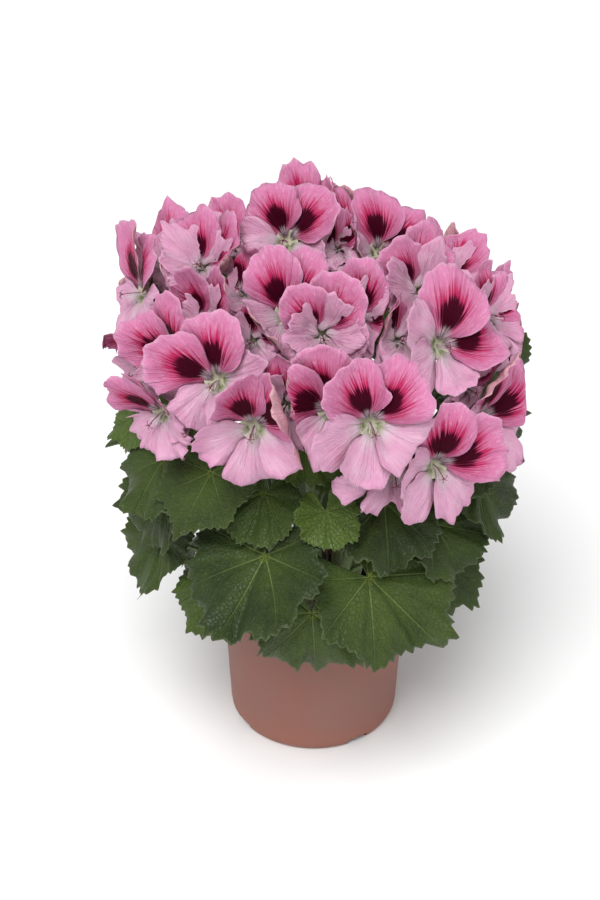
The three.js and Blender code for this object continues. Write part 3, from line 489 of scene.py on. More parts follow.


# The plant's layout, in millimetres and degrees. Blooms of each head: throat
# x, y, z, azimuth and elevation it faces, clockwise roll, size, rank (a higher one lies over
# its neighbours) and openness. root is where the stem leaves the soil: azimuth and distance.
heads = [
    dict(root=(-95, 22), umbel=(-55, -8, 296), blooms=[
        (-64, -10, 328, -25, 58, 12, 1.0, 3, 0.6),
        (-86, 18, 312, -60, 60, 30, 1.0, 1, 0.5),
        (-98, 0, 308, -72, 18, 10, 1.08, 3, 0.95),
        (-60, -46, 314, -35, 45, 0, 0.95, 2, 0.4),
        (-40, -30, 322, -30, 60, 0, 0.95, 2, 0.3),
    ]),
    dict(root=(180, 8), umbel=(-6, 14, 300), blooms=[
        (-16, -4, 344, -12, 42, 14, 0.98, 3, 0.9),
        (12, -6, 338, 15, 60, 0, 0.85, 1, 0.3),
        (-6, 36, 332, -10, 62, 10, 1.0, 1, 0.4),
        (22, 38, 324, 60, 75, 0, 0.95, 1, 0.5),
        (-48, 28, 318, -50, 75, 0, 0.95, 1, 0.3),
    ]),
    dict(root=(95, 12), umbel=(50, 2, 290), blooms=[
        (36, 4, 332, 20, 48, 22, 0.98, 2, 0.8),
        (58, -18, 318, 28, 50, -18, 1.0, 3, 0.7),
        (76, 20, 303, 55, 60, 0, 1.0, 1, 0.5),
        (98, -4, 292, 72, 35, 20, 1.05, 1, 0.7),
    ]),
    dict(root=(66, 25), umbel=(62, -32, 262), blooms=[
        (68, -50, 303, 34, 28, 46, 1.18, 5, 1.0),
        (82, -58, 280, 45, 20, 0, 0.9, 1, 0.5),
        (92, -54, 256, 55, 15, 8, 1.16, 3, 0.8),
    ]),
    dict(root=(5, 10), umbel=(3, -40, 290), blooms=[
        (-16, -54, 325, -6, 32, 6, 1.06, 3, 0.9),
        (3, -70, 322, 4, 28, -10, 0.95, 4, 0.7),
        (22, -62, 325, 18, 35, 30, 0.95, 2, 0.6),
        (44, -62, 312, 22, 45, 0, 0.95, 1, 0.4),
        (-34, -62, 312, -15, 40, 10, 0.9, 1, 0.4),
    ]),
    dict(root=(-50, 24), umbel=(-58, -38, 266), blooms=[
        (-54, -72, 294, -22, 22, -24, 1.12, 5, 0.95),
        (-76, -52, 292, -42, 22, -20, 1.05, 3, 0.8),
        (-86, -60, 266, -38, 0, -10, 1.0, 2, 0.8),
        (-96, -30, 276, -62, 2, 10, 1.0, 1, 0.8),
    ]),
    dict(root=(-8, 26), umbel=(-2, -66, 264), blooms=[
        (-34, -92, 277, -8, 12, 8, 1.14, 4, 1.0),
        (-16, -86, 287, -10, 22, 14, 0.98, 3, 0.6),
        (8, -97, 291, -4, 16, -36, 1.1, 4, 0.9),
        (29, -104, 287, 10, 16, 4, 1.18, 6, 1.0),
    ]),
    dict(root=(28, 28), umbel=(40, -62, 240), blooms=[
        (66, -86, 247, 24, 8, 26, 1.16, 5, 0.95),
        (42, -92, 250, 14, -5, 10, 1.1, 2, 0.9),
    ]),
    dict(root=(124, 22), umbel=(62, 40, 266), blooms=[
        (62, 60, 300, 130, 45),
        (86, 72, 272, 125, 15),
        (106, 30, 268, 100, 10),
    ]),
    dict(root=(168, 24), umbel=(13, 68, 266), blooms=[
        (18, 76, 308, 170, 45),
        (-10, 104, 290, -175, 25),
        (42, 100, 280, 155, 20),
        (20, 108, 248, 172, 0, 0, 0.95, 1, 0.8),
    ]),
    dict(root=(-142, 23), umbel=(-48, 50, 262), blooms=[
        (-38, 70, 306, -150, 50),
        (-78, 58, 296, -130, 35),
        (-104, 35, 278, -105, 12),
        (-62, 92, 275, -145, 20),
        (-88, 60, 248, -125, 0, 0, 0.9, 1, 0.8),
        (-32, 102, 245, -165, 0, 0, 0.95, 1, 0.8),
    ]),
]

# Leaves: head that bears it, x, y, z of the stalk's end, azimuth and elevation of the upper
# face, roll, radius, cup, droop towards the tip, and fold.
leafRows = [
    (6, -29, -90, 185, -36, 54, 22, 45, 0.13, 20, 0.05),
    (7, 31, -86, 166, 22, 46, -48, 48, 0.08, 25, -0.02),
    (6, -2, -98, 149, 4, 16, -6, 39, 0.05, 30, -0.05),
    (7, 70, -58, 184, 40, 45, -35, 32),
    (3, 98, -36, 198, 55, 40, -40, 31),
    (3, 104, 2, 262, 50, 30, -30, 32, 0.1, 20),
    (3, 108, 0, 225, 70, 30, -30, 32, 0.1, 20),
    (5, -108, -14, 232, -60, 30, 20, 19),
    (5, -90, -40, 218, -50, 45, 30, 31),
    (5, -88, -32, 190, -50, 45, 35, 33, 0.1, 40),
    (0, -93, -25, 150, -60, 45, 35, 32),
    (5, -60, -60, 222, -35, 55, 20, 32),
    (6, 6, -84, 212, 5, 45, -10, 20, 0.15, 20),
    (5, -60, -60, 142, -40, 35, 20, 28, 0.1, 40),
    (3, 74, -42, 148, 45, 35, -10, 34, 0.1, 40),
    (6, -30, -68, 214, -10, 50, 20, 28),
    (7, 40, -66, 206, 20, 60, 0, 36),
    (3, 74, -30, 222, 45, 60, 0, 36),
    (0, -74, 10, 205, -80, 60, 0, 38),
    (8, 84, 22, 180, 95, 50, 0, 40),
    (8, 88, 38, 225, 105, 40, 0, 38),
    (10, -96, 42, 222, -105, 40, 0, 38),
    (0, -82, 40, 165, -110, 45, 0, 42, 0.1, 35),
    (10, -50, 80, 205, -140, 45, 0, 40, 0.1, 35),
    (9, 0, 92, 215, 180, 45, 0, 40, 0.1, 35),
    (9, 52, 80, 205, 145, 45, 0, 40, 0.1, 35),
    (8, 74, 56, 158, 130, 45, 0, 44, 0.1, 35),
    (9, 22, 82, 160, 165, 45, 0, 46, 0.1, 40),
    (10, -38, 74, 158, -155, 45, 0, 46, 0.1, 40),
    (8, 60, 34, 128, 120, 40, 0, 34, 0.1, 40),
    (10, -58, 34, 128, -120, 40, 0, 34, 0.1, 40),
    (9, 0, 68, 126, 180, 40, 0, 34, 0.1, 40),
    (4, 35, -44, 314, 15, 40, 0, 14, 0.1, 20),
    (1, 12, -4, 306, 0, 65, 0, 22, 0.1, 20),
    (1, 36, -8, 300, 35, 65, 0, 20, 0.1, 20),
    (6, -6, -55, 236, 0, 45, 0, 21),
    (6, 14, -50, 229, 5, 40, 0, 21),
]


# blooms
bloomLook = dict(
    # five petals, two above and three below: how far each is turned clockwise from the bloom's up
    turn=(-32, 32, 114, 180, 246),
    length=(38, 38, 33, 34, 33),
    arc=(0.5, 0.5, 0.45, 0.46, 0.45),  # radius of the rounded end over the length
    centre=(0.56, 0.56, 0.6, 0.58, 0.6),  # and how far out its centre is
    rise=(50, 50, 44, 46, 44),  # slope at the claw
    fall=(-32, -32, -38, -42, -38),  # slope at the edge
    cup=(0.3, 0.3, 0.12, 0.12, 0.12),
    ruffle=(2.8, 2.8, 3.4, 3.4, 3.4),
    # ruffles: share of the above, sines over the width, power of the way out, draw, and sway
    waves=((1.0, 5.2, 3, 9, 0), (0.6, 11.5, 4, 11, 0), (0.42, 21, 5, 12, 2)),
    usual=(0, 1.0, 1, 0.8),  # roll, size, rank and openness where a bloom's row leaves them out
    columns=36, rows=11, half=0.22, gap=0.42,
    # small petals that fill a bloom whose openness is less than halfOpen
    halfOpen=0.75, innerTurn=(8, 80, 150, 212, 286), innerLength=(32, 32, 30, 31, 32),
    soft=(0.8, 2.5),  # how far off a wall between petals, and one between blooms, is felt
    scallop=0.045, crease=1.4, curl=1.3,  # at the edge, down the middle, and back at the edge
    near=80,  # hearts further apart than this have no wall between them
    # how far out petals reach on each side before they turn back, for blooms that stand aside
    left=-121, right=122, aside=60,
)


def placeBlooms():
    # every bloom with its frame, and walls between its heart and its neighbours' hearts. A wall
    # leans over the bloom that lies lower in rank or higher on the plant.
    blooms = []
    for h, head in enumerate(heads):
        for row in head["blooms"]:
            row += bloomLook["usual"][len(row) - 5:]
            x, y, z, azimuth, elevation, roll, size, rank, openness = row
            axes, throat = faceFrame(azimuth, elevation, roll), np.array([x, y, z], float)
            blooms.append(dict(axes, head=h, throat=throat, heart=throat + 9 * size * axes["out"], size=size,
                               rank=rank, openness=openness, seed=len(blooms) + 1))
    for bloom in blooms:
        bloom["walls"] = []
        for other in blooms:
            way = other["heart"] - bloom["heart"]
            distance = norm(way)
            if other is bloom or distance > bloomLook["near"]:
                continue
            above = bloom["rank"] - other["rank"]
            lean = float(np.clip(0.28 * above + 0.8 * way[2] / distance, -1.1, 1.1))
            normal = unit(way / distance - lean * unit(bloom["out"] + other["out"]))
            size = bloom["size"] + other["size"]
            mine = np.clip((0.5 + 0.04 * above) * 2 * bloom["size"] / size, 0.36, 0.64)
            theirs = np.clip((0.5 - 0.04 * above) * 2 * other["size"] / size, 0.36, 0.64)
            reach = normal @ (bloom["heart"] + way * mine / (mine + theirs)) - bloomLook["gap"]
            sign = 1.0 if other["seed"] > bloom["seed"] else -1.0
            bloom["walls"].append((normal, reach, 1.0 if lean > -0.01 else -0.7, sign))
        for normal, reach in (((-1, 0, 0), -bloomLook["left"]), ((1, 0, 0), bloomLook["right"])):
            if abs(bloom["throat"][0]) > bloomLook["aside"]:
                bloom["walls"].append((np.array(normal, float), reach, 1.0, 0.3))
    return blooms


def waves(points):
    # sines in three directions, so that petals meet along wavy lines and not along flat ones
    x, y, z = points[..., 0], points[..., 1], points[..., 2]
    broad = np.sin(0.31 * x + 0.22 * y + 0.27 * z) + np.sin(-0.23 * x + 0.34 * y + 0.29 * z + 2)
    return 0.75 * broad + 0.35 * np.sin(0.8 * x - 0.5 * y + 0.7 * z + 1)


def faceDirection(bloom, turn):
    # the way out from a bloom's middle, clockwise from its own up
    a = radians(turn)
    return bloom["up"] * cos(a) + bloom["right"] * sin(a)


def petalWalls(bloom, turns, k, lean):
    # the walls to the next petal on each side; leaning ones lay each petal over the next
    walls = []
    for side in (1, -1):
        turn, after = turns[k], turns[(k + side) % len(turns)]
        middle = turn + side * (((after - turn) * side) % 360) / 2
        line = unit(faceDirection(bloom, middle) + 0.3 * bloom["out"])
        above = unit(bloom["out"] - bloom["out"] @ line * line)
        normal = side * unit(faceDirection(bloom, middle + 90) - lean * above)
        walls.append((normal, normal @ bloom["throat"] - bloomLook["half"] - 0.1, side * min(lean, 0.6)))
    return walls


def fitPetal(bloom, points, walls):
    # a point past a wall of its petal moves back square to it; past a wall of its bloom it turns
    # along that wall, and last it is drawn towards the heart until it is inside
    softPetal, softBloom = bloomLook["soft"]
    for normal, reach, sign in walls * 2:
        past = points @ normal - reach - sign * waves(points)
        points = points - softPast(past, softPetal)[..., None] * normal
    for first in (True, False):
        for normal, reach, sense, sign in bloom["walls"]:
            past = points @ normal - reach - sign * waves(points)
            push = (softPast(past, softBloom) if first else np.maximum(past, 0))[..., None]
            along = unit(bloom["out"] - bloom["out"] @ normal * normal)
            points = points - push * normal + (0.75 * sense if first else 0) * push * along
    way = points - bloom["heart"]
    keep, wavy = np.ones(way.shape[:-1]), waves(points)
    for normal, reach, sense, sign in bloom["walls"]:
        room, need = np.maximum(reach + sign * wavy - bloom["heart"] @ normal, 0.5), way @ normal
        keep = np.minimum(keep, np.where(need > room, room / np.maximum(need, 1e-6), 1.0))
    return bloom["heart"] + way * keep[..., None]


def petalShape(bloom, k, inner=False):
    # The outline is a circle seen from the claw, and the slope turns evenly from rise to fall;
    # sines of the turn across add the ruffles, finer ones towards the edge. An inner petal is a
    # small one that stands up inside the others.
    look, size, closed = bloomLook, bloom["size"], 1 - bloom["openness"]
    seed = bloom["seed"] * 7 + k * 1.7 + (50 if inner else 0)
    j = 2 + k % 3 if inner else k
    turns, lengths = (look[name] for name in (("innerTurn", "innerLength") if inner else ("turn", "length")))
    length = lengths[k] * size * (0.91 + 0.17 * noise(seed))
    arc, centre = look["arc"][j] * length * (0.92 + 0.14 * noise(seed + 1)), look["centre"][j] * length
    widest = asin(arc / centre)
    turn = np.linspace(-1, 1, look["columns"]) * (pi / 2 + widest)
    phi = np.arctan2(arc * np.sin(turn), centre + arc * np.cos(turn))
    v = np.linspace(0.05, 1, look["rows"]) ** 0.85
    phi, v = np.meshgrid(np.clip(phi, -widest, widest), v, indexing="ij")
    s = phi / widest
    edge = centre * np.cos(phi) + np.sqrt(np.maximum(arc ** 2 - (centre * np.sin(phi)) ** 2, 0))
    scallop = np.sin(13 * s + seed) ** 2 - 0.5
    uneven = 0.05 * np.sin(3.1 * s + seed) + 0.03 * np.sin(7 * s + 2 * seed)
    edge *= 1 + uneven * v ** 2 + look["scallop"] * scallop * v ** 4
    x, y = v * edge * np.sin(phi), v * edge * np.cos(phi)
    rise = radians((72 if inner else look["rise"][j]) + 22 * closed + 10 * (noise(seed + 3) - 0.5))
    fall = radians((20 if inner else look["fall"][j]) + (85 if j < 2 else 100) * closed
                   + 40 * (noise(seed + 5) - 0.5))
    bend = (fall - rise) / length
    slope = rise + bend * y
    run, height = (np.sin(slope) - np.sin(rise)) / bend, -(np.cos(slope) - np.cos(rise)) / bend
    height += look["cup"][j] * (noise(seed + 7) - 0.62) * x * x / length
    ruffle = look["ruffle"][j] * size * (0.75 + 1.5 * closed + 0.35 * noise(seed + 8))
    for share, count, power, draw, sway in look["waves"]:
        start = phase(seed + draw) + sway * np.sin(5 * s)
        height += share * ruffle * v ** power * np.sin(count * s + start)
    crease = look["crease"] * size * np.exp(-((s - 0.9 * (noise(seed + 17) - 0.5)) / 0.09) ** 2)
    height -= crease * v * (1.15 - v) * 2
    height += 0.3 * v * (1.2 - v) * np.sin(21 * s + seed) + 0.13 * x
    height -= look["curl"] * size * smooth(0.8, 1.05, v) * (noise(seed + 13) - 0.2)
    angle = turns[k] + 14 * (noise(seed + 15) - 0.5)
    away, across = faceDirection(bloom, angle), faceDirection(bloom, angle + 90)
    claw = 0.6 if inner else 1.5
    grid = bloom["throat"] + height[..., None] * bloom["out"]
    grid = grid + (claw + run)[..., None] * away + x[..., None] * across
    leaning = fitPetal(bloom, grid, petalWalls(bloom, turns, k, 1.3))
    square = fitPetal(bloom, grid, petalWalls(bloom, turns, k, 0.0))
    share = smooth(4, 12, np.hypot(x, y))[..., None]  # square walls at the claw, leaning ones further out
    grid = square * (1 - share) + leaning * share
    thin = (look["half"] * (1 - 0.75 * smooth(0.75, 1, v)) * (1 - 0.6 * smooth(0.8, 1, np.abs(s))))[..., None]
    kind = 0.1 if inner else 1.0 if k < 2 else 0.0
    return sheetShape(grid, thin, (s + 1) / 2, v, upper=kind, tint=noise(seed + 21))


def throatShapes(bloom):
    # a small funnel that closes the throat, white filaments, and a dark style with five curled branches
    out, up, throat, seed = bloom["out"], bloom["up"], bloom["throat"], bloom["seed"] * 3.7
    heights = np.array([-3.2, -1.2, 1.2, 3.6, 3.3, 0.6, -1.6])
    radius = np.broadcast_to(np.array([1.8, 3.4, 5.0, 6.9, 6.4, 3.6, 0.9]) * bloom["size"], (16, 7))
    funnel = turnedShape(throat, bloom, heights, radius, heights[[0, -1]])
    shapes = [dict(funnel, tint=0.5, upper=0.0, uv=(0.5, 0.14))]
    for n in range(6):
        turn = 180 + (n - 2.5) * 30 + 20 * (noise(seed + n) - 0.5)
        aside = faceDirection(bloom, turn)
        tall = (9 + 4 * noise(seed + n + 9)) * bloom["size"]
        curve = [throat + out + 0.8 * aside, throat + 0.6 * tall * out + 1.2 * aside,
                 throat + tall * out + 2.8 * aside - 1.5 * up]
        shapes.append(bentShape(curve, 6, (0.3, 0.18), 4, 1))
    reach = (12 + 3 * noise(seed + 20)) * bloom["size"]
    tip = throat + reach * out - 2.5 * up
    shapes.append(bentShape([throat, throat + 0.6 * reach * out, tip], 7, (0.26, 0.26), 5, 2))
    for n in range(5):
        aside = faceDirection(bloom, n * 72 + 30 * noise(seed))
        curve = [tip, tip + 1.2 * out + 0.9 * aside, tip + 0.9 * out + 2.6 * aside,
                 tip + 2.9 * aside - 0.2 * out]
        shapes.append(bentShape(curve, 6, (0.26, 0.14), 4, 2))
    return shapes


blooms = placeBlooms()
for n, bloom in enumerate(blooms):
    shapes = [petalShape(bloom, k) for k in range(5)] + throatShapes(bloom)
    if bloom["openness"] < bloomLook["halfOpen"]:
        shapes += [petalShape(bloom, k, inner=True) for k in range(len(bloomLook["innerTurn"]))]
    putMesh("petals_%02d" % (n + 1), shapes, [petalMaterial, filamentMaterial, styleMaterial],
            ["bloom_%02d" % (n + 1)])
print("blooms made:", len(blooms))


# leaves
leafLook = dict(
    usual=(0.1, 30, 0),  # cup, droop and fold where a leaf's row leaves them out
    lobes=7, span=157.5, teeth=6, columns=169, rows=14, half=0.28, gap=0.5,
    lobe=0.13, tooth=0.06, pleat=0.30, quilt=0.014,  # how far each stands out, over the radius
    waves=((0.10, 2.6, 3), (0.07, 7, 4), (0.025, 17, 6)),  # height over the radius, sines, power
)


def leafOutline(q, teeth, seed):
    # distance of the edge from the stalk at lobe number q: seven rounded lobes with pointed teeth
    # whose height is drawn anew for every tooth
    lobe = np.cos(pi * q) ** 2
    saw = 2 * np.abs((q * leafLook["teeth"]) % 1 - 0.5)
    draw = 0.6 + 0.8 * noise(np.floor(q * leafLook["teeth"]) + seed)
    edge = (0.84 + leafLook["lobe"] * lobe ** 0.5) * (1 + 0.02 * np.cos(q * 0.9))
    return edge + teeth * (leafLook["tooth"] * (saw - 0.45) * draw + 0.02 * np.cos(4 * pi * q + seed))


def leafPoint(leaf, s, v):
    # s goes round from one side of the sinus to the other, v from the stalk to the edge; the
    # blade is pleated along its veins, cupped, waved, and bent down towards its tip
    radius, seed, q = leaf["radius"], leaf["seed"] * 3.1, s * leafLook["lobes"] / 2
    psi = s * radians(leafLook["span"])
    far = v * leafOutline(q, v ** 8, seed) * (1 + 0.2 * np.cos(psi))
    psi = psi * (1 + 0.03 * np.abs(s) ** 8 * far)
    x, y = radius * far * np.sin(psi), radius * far * np.cos(psi)
    off = q - np.round(q)
    height = radius * leafLook["pleat"] * (np.sqrt(off ** 2 + 0.0012) - 0.22) * far ** 1.2
    side = np.sin(2 * pi * off) + 0.5 * np.sin(4 * pi * off)
    height += radius * 0.07 * side * (noise(np.round(q) + seed) - 0.5) * 2 * far ** 2
    height += radius * 0.022 * np.cos(6 * pi * off) * far ** 1.5
    height += radius * leaf["cup"] * far ** 2
    for n, (tall, count, power) in enumerate(leafLook["waves"]):
        height += radius * tall * far ** power * np.sin(count * psi + phase(seed + n))
    quilt = np.sin(22 * (v - 0.8 * np.abs(off) * v)) * np.abs(np.sin(pi * q))
    height += radius * leafLook["quilt"] * far ** 2 * quilt
    height += leaf["fold"] * np.abs(x)
    bend = radians(leaf["droop"]) / radius * np.where(y > 0, 1.0, -0.35)
    slope = bend * y
    drop = (1 - np.cos(slope)) / bend * np.where(y > 0, 1.0, -1.0)
    reach = np.sin(slope) / bend + height * np.sin(slope)
    height = height * np.cos(slope) - drop
    return (leaf["junction"] + x[..., None] * leaf["right"] - reach[..., None] * leaf["up"]
            + height[..., None] * leaf["out"])


def placeLeaves():
    # every leaf with its frame, and walls where two leaves would cross, in the one of a few
    # directions in which they reach least past each other
    leaves = []
    for n, row in enumerate(leafRows):
        row += leafLook["usual"][len(row) - 8:]
        head, x, y, z, azimuth, elevation, roll, radius, cup, droop, fold = row
        leaves.append(dict(faceFrame(azimuth, elevation, roll), head=head, seed=n + 1, radius=radius, cup=cup,
                           droop=droop, fold=fold, junction=np.array([x, y, z], float), walls=[]))
    s, v = np.meshgrid(np.linspace(-1, 1, 15), np.array([0, 0.5, 1.0]), indexing="ij")
    for leaf in leaves:
        leaf["points"] = leafPoint(leaf, s, v).reshape(-1, 3)
        leaf["middle"] = leaf["points"].mean(0)
    for a, b in combinations(leaves, 2):
        way = b["middle"] - a["middle"]
        if norm(way) > a["radius"] + b["radius"] + 5:
            continue
        best = None
        for face in (a["out"] + b["out"], a["out"], b["out"]):
            face = unit(face) * (-1 if face @ way < 0 else 1)
            for k in range(5):
                normal = unit(unit(way) * (1 - k / 4) + face * k / 4)
                over = (a["points"] @ normal).max() - (b["points"] @ normal).min()
                if best is None or over < best[0]:
                    best = (over, normal)
        over, normal = best
        if over < 1.2:
            continue
        at = ((a["points"] @ normal).max() + (b["points"] @ normal).min()) / 2
        a["walls"].append((normal, at - leafLook["gap"]))
        b["walls"].append((-normal, -at - leafLook["gap"]))
    return leaves


def fitLeaf(leaf, points):
    # a point past a wall between leaves moves back square to it
    for n in range(12):
        for normal, reach in leaf["walls"]:
            past = points @ normal - reach
            push = softPast(past, 1.5) if n == 0 else np.maximum(past, 0)
            points = points - push[..., None] * normal
    return points


def leafShape(leaf):
    # a blade thinned at its edge; small leaves are young ones
    s, v = np.linspace(1, -1, leafLook["columns"]), np.linspace(0.015, 1, leafLook["rows"])
    s, v = np.meshgrid(s, v, indexing="ij")
    grid = fitLeaf(leaf, leafPoint(leaf, s, v))
    thin = (leafLook["half"] * (1 - 0.6 * smooth(0.85, 1, v)))[..., None]
    young = float(np.clip((31 - leaf["radius"]) / 8, 0, 1))
    return sheetShape(grid, thin, (s + 1) / 2, v, tint=noise(leaf["seed"] * 5.3), young=young)


# stems, leaf stalks, bloom stalks and calyces
stalkLook = dict(soilTop=78, holeDepth=10, stem=4.0, peduncle=1.9, petiole=1.3, pedicel=0.9,
                 umbel=4.0, calyx=7.0, calyxLength=10)


def stemCurve(head, count):
    # a stem leaves the soil upright and bends to its umbel
    azimuth, distance = head["root"]
    root = direction(azimuth, 0) * distance + (0, 0, stalkLook["soilTop"] - stalkLook["holeDepth"])
    umbel = np.array(head["umbel"], float)
    rise = umbel[2] - root[2]
    low = root + (0, 0, 0.4 * rise)
    high = np.append((umbel + (root - umbel) * 0.3)[:2], umbel[2] - 0.35 * rise)
    return bezier([root, low, high, umbel], count)


def stalkShapes(head, own, borne):
    # a head's knotty stem, its umbel, and the stalks of its leaves and blooms
    look = stalkLook
    stem, umbel = stemCurve(head, 40), np.array(head["umbel"], float)
    t = np.linspace(0, 1, 40)
    knots = 1 + 0.16 * np.exp(-((t[:, None] - np.array([0.12, 0.24, 0.37, 0.52, 0.68])) / 0.012) ** 2).sum(-1)
    shapes = [tubeShape(stem, (look["stem"] + (look["peduncle"] - look["stem"]) * t) * knots, 12)]
    ball = np.cos(np.linspace(-1.35, 1.35, 8)) * look["umbel"] + 0.3
    path = umbel + np.linspace(-1, 1, 8)[:, None] * unit(stem[-1] - stem[-3]) * look["umbel"]
    shapes.append(tubeShape(path, ball, 12))
    for leaf in borne:
        top = fitLeaf(leaf, leaf["junction"])
        rise = float(np.clip((leaf["junction"][2] - 45 - look["soilTop"]) / 200, 0.07, 0.6))
        start = stemCurve(head, 201)[int(round(rise * 200))]
        bend = (top - 18 * leaf["out"]) * 0.75 + start * 0.25
        curve = bezier([start, bend, top - 0.1 * leaf["out"]], 14)
        thick = look["petiole"] * (1.25 - 0.35 * np.linspace(0, 1, 14)) + np.append(np.zeros(13), 0.5)
        shapes.append(tubeShape(curve, thick, 8))
    for bloom in own:
        foot = bloom["throat"] - look["calyxLength"] * bloom["out"]
        curve = bezier([umbel, (umbel + foot) / 2 - 2.5 * bloom["out"], foot], 9)
        thick = np.append(np.full(8, look["pedicel"]), look["pedicel"] * 1.5)
        shapes.append(tubeShape(curve, thick, 7))
        shapes.append(calyxShape(bloom, foot))
    for n, (a, b) in enumerate(nearPairs(own)):
        shapes += budShapes(umbel, a, b, head["umbel"][0] + 7.1 * n)
    return shapes


def nearPairs(own):
    # up to four pairs of one head's blooms that stand close together
    def apart(pair):
        return norm(pair[0]["heart"] - pair[1]["heart"])

    return sorted([pair for pair in combinations(own, 2) if apart(pair) < 52], key=apart)[:4]


def budShapes(umbel, a, b, seed):
    # a bud between two blooms and a little behind them: a bent stalk, a pointed egg, and its
    # sepals are a second egg round its lower part
    between = (a["throat"] + b["throat"]) / 2
    way = unit(between - umbel)
    foot = umbel + (between - umbel) * (0.62 + 0.12 * noise(seed))
    long = 13 + 5 * noise(seed + 1)
    shapes = [bentShape([umbel, (umbel + foot) / 2 + (0, 0, 3), foot], 8, (0.8, 0.8), 6)]
    t = np.linspace(0, 1, 12)
    path = foot + (t * long)[:, None] * way
    egg = 3.0 * np.sin(pi * np.clip(t, 0.04, 0.97) ** 0.8) + 0.2
    shapes.append(tubeShape(path, egg, 14, finish=1))
    cut = t * 0.72
    rim = 3.15 * np.sin(pi * np.clip(cut, 0.04, 1) ** 0.8) + 0.5 * (1 - t)
    path = foot + (cut * long)[:, None] * way
    star = 1 + 0.12 * np.cos(5 * np.arange(20) * pi / 10)[:, None] * t[None]
    shapes.append(tubeShape(path, rim[None] * star, 20))
    return shapes


def calyxShape(bloom, foot):
    # a narrow cup that opens into five pointed sepals under the petals
    t = np.array([0, 0.12, 0.3, 0.5, 0.68, 0.82, 0.93, 1.0, 0.9, 0.72])
    flare = np.array([0.16, 0.24, 0.28, 0.38, 0.55, 0.76, 0.9, 1.0, 0.8, 0.4])
    angle = np.arange(30) * 2 * pi / 30
    star = 0.5 * (np.cos(5 * angle[:, None]) - 0.2) * smooth(0.4, 1, t)[None] * (np.arange(10) < 9)
    radius = stalkLook["calyx"] * bloom["size"] * flare[None] * (1 + star)
    heights = t * (stalkLook["calyxLength"] - 1.5)
    return turnedShape(foot, bloom, heights, radius, (heights[0], heights[-1] - 1.0))


leaves = placeLeaves()
for h, head in enumerate(heads):
    borne = [leaf for leaf in leaves if leaf["head"] == h]
    own = [bloom for bloom in blooms if bloom["head"] == h]
    node = "shoot_%02d" % (h + 1)
    if borne:
        blades = [leafShape(leaf) for leaf in borne]
        putMesh("leaves_%02d" % (h + 1), blades, [leafMaterial], [node])
    stalks = stalkShapes(head, own, borne)
    putMesh("stalks_%02d" % (h + 1), stalks, [stalkMaterial, budMaterial], [node])
print("shoots made:", len(heads))


# pot and soil
potLook = dict(
    profile=[
        (0, 0), (30, 0), (31, 4), (43, 4), (44, 0), (49.5, 0), (51.6, 0.6), (53.2, 2.0), (54.1, 4.2),
        (54.5, 7), (55.6, 30), (57.55, 79), (58.4, 79.6), (59.3, 80), (59.45, 81), (59.9, 88.6),
        (59.85, 89.5), (59.3, 90), (57, 90), (56.4, 89.6), (56, 80), (52.9, 8), (51.6, 5.2),
        (49, 3.4), (44, 3), (43.6, 6), (30, 6), (29, 2), (0, 2),
    ],
    step=9, segments=144,
    notches=dict(count=4, first=32, middle=(0, -52.3, 0), size=(14, 17.6, 10), sides=4),
    holes=dict(count=4, first=0, middle=(0, -37, 5), size=(8, 8, 12), sides=28),
    sharp=35,  # edges that turn by more degrees than this stay crisp
)
upright = dict(out=np.array([0.0, 0, 1]), up=np.array([1.0, 0, 0]), right=np.array([0.0, -1, 0]))


def refined(profile, step):
    # the profile with points added, so that no stretch is longer than step
    points = [np.array(profile[0], float)]
    for a, b in zip(np.array(profile[:-1], float), np.array(profile[1:], float)):
        count = max(1, int(ceil(norm(b - a) / step)))
        points += [a + (b - a) * (n + 1) / count for n in range(count)]
    return np.array(points)


def cutterShape(n, count, first, middle, size, sides):
    # an upright prism, number n of a whole turn of them: a box with 4 sides, near enough a
    # cylinder with more
    angle = (np.arange(sides) + 0.5) * 2 * pi / sides
    ring = np.stack([np.cos(angle), np.sin(angle)], -1) / cos(pi / sides)
    ring = ring * np.array(size[:2]) / 2 + np.array(middle[:2])
    a = radians(first + 360 / count * n)
    ring = ring @ np.array([[cos(a), sin(a)], [-sin(a), cos(a)]])
    ring = np.concatenate([ring, ring.mean(0)[None]])
    ends = [np.c_[ring, np.full(sides + 1, middle[2] + z * size[2] / 2)] for z in (-1, 1)]
    points = [np.stack([end[:-1] for end in ends], 1).reshape(-1, 3)] + [end[-1:] for end in ends]
    return dict(points=np.concatenate(points), quads=closedQuads(sides, 2))


def makePot():
    # the profile carried round the axis, with notches and drain holes cut out of it
    look = potLook
    cutters = [cutterShape(n, **kind) for kind in (look["notches"], look["holes"])
               for n in range(kind["count"])]
    rim = refined(look["profile"], look["step"])[1:-1]
    radius = np.broadcast_to(rim[:, 0], (look["segments"], len(rim)))
    wall = turnedShape(np.zeros(3), upright, rim[:, 1], radius, rim[[0, -1], 1])
    pot = putMesh("nursery_pot", [wall], [potMaterial], ["pot"])
    cutter = putMesh("cutter", cutters, [], [])
    cut = pot.modifiers.new("cut", "BOOLEAN")
    cut.operation, cut.solver, cut.object = "DIFFERENCE", "EXACT", cutter
    deps = bpy.context.evaluated_depsgraph_get()
    mesh = bpy.data.meshes.new_from_object(pot.evaluated_get(deps), depsgraph=deps)
    pot.modifiers.clear()
    pot.data = mesh
    mesh.set_sharp_from_angle(angle=radians(look["sharp"]))
    mesh.polygons.foreach_set("use_smooth", np.ones(len(mesh.polygons), bool))
    bpy.data.objects.remove(cutter)


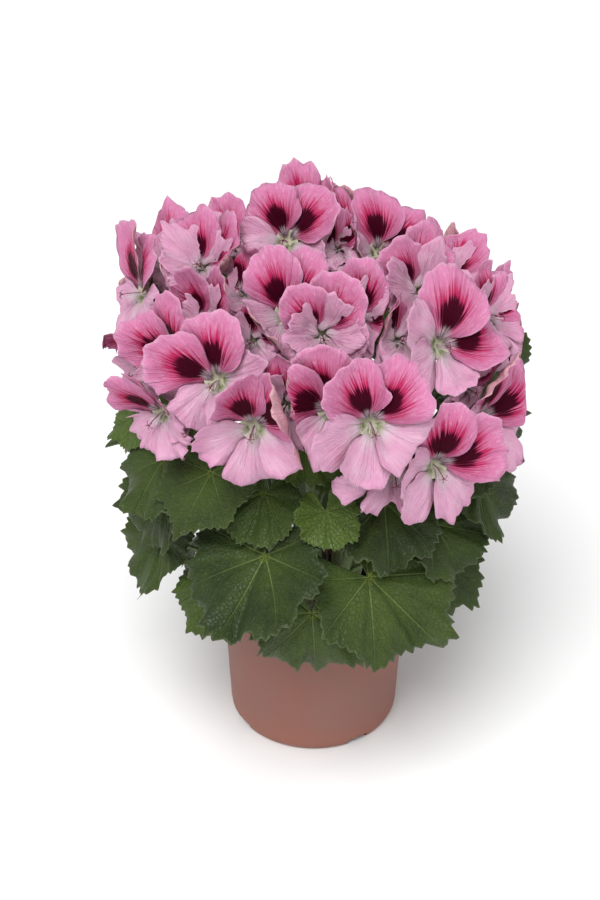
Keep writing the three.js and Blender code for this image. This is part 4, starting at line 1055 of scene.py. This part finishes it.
def soilShape():
    # a mound of peat: rings from the edge to the middle, raised by sines and by crumbs of noise,
    # over a narrower foot
    look = dict(top=55.0, foot=51.9, low=10, high=77, shoulder=1.5, rings=44, segments=120, crumb=2.6)
    radius = np.linspace(look["top"], 0.6, look["rings"])
    angle = np.arange(look["segments"]) * 2 * pi / look["segments"]
    a, r = np.meshgrid(angle, radius, indexing="ij")
    x, y = r * np.cos(a), r * np.sin(a)
    crumb = noise(np.round(x / look["crumb"]) * 7.3 + np.round(y / look["crumb"]) * 3.1) - 0.5
    z = look["high"] + 1.2 * np.sin(x * 0.13) * np.cos(y * 0.11) + 1.8 * crumb
    z = z + 0.5 * np.sin(x * 0.9) * np.sin(y * 0.8)
    z = np.where(r > look["top"] - 1, look["high"] - look["shoulder"], z)
    r, z = np.insert(r, 0, look["foot"], axis=1), np.insert(z, 0, look["low"], axis=1)
    return turnedShape(np.zeros(3), upright, z, r, (look["low"], look["high"]))


makePot()
putMesh("peat", [soilShape()], [soilMaterial], ["soil"])
print("pot and soil made")


# floor, lights and camera
def makeFloor():
    # a plain pale square
    mesh = bpy.data.meshes.new("floor")
    mesh.from_pydata([(-6, -6, 0), (6, -6, 0), (6, 6, 0), (-6, 6, 0)], [], [(0, 1, 2, 3)])
    mesh.materials.append(newMaterial("floor", (0.93, 0.93, 0.93), 0.8)[0])
    placed("floor", mesh)


def makeLight(name, azimuth, elevation, strength, softness):
    # a far light as wide as a soft box: azimuth 0 is the front, softness its width in degrees
    lamp = bpy.data.lights.new(name, "SUN")
    lamp.energy, lamp.angle = strength, radians(softness)
    placed(name, lamp).rotation_euler = (radians(90 - elevation), 0, radians(azimuth))


def makeRoom():
    # pale walls all round and a dimmer ceiling, blended by height
    look = dict(wall=0.72, ceiling=0.26)
    world = bpy.data.worlds.new("studio")
    world.use_nodes = True
    tree = world.node_tree
    height = partsOf(tree.nodes.new("ShaderNodeTexCoord").outputs["Generated"])[2]
    shade = span(height, 0.25, 0.7, look["wall"], look["ceiling"])
    light = tree.nodes["Background"].inputs
    put(light["Strength"], shade)
    put(light["Color"], (1, 1, 1))
    bpy.context.scene.world = world


def makeCamera():
    # a long lens that looks down on the plant, as in the photo
    look = dict(lens=80.68, sensor=36, place=(-0.009, -1.0244, 0.8904), tilt=55.95)
    lens = bpy.data.cameras.new("camera")
    lens.lens, lens.sensor_width = look["lens"], look["sensor"]
    camera = placed("camera", lens)
    camera.location = look["place"]
    camera.rotation_euler = (radians(look["tilt"]), 0, 0)
    bpy.context.scene.camera = camera


makeFloor()
makeLight("key", azimuth=-18, elevation=60, strength=3.1, softness=38)
makeLight("fill", azimuth=60, elevation=35, strength=0.3, softness=60)
makeCamera()
makeRoom()
bpy.context.scene.view_settings.view_transform = "Standard"
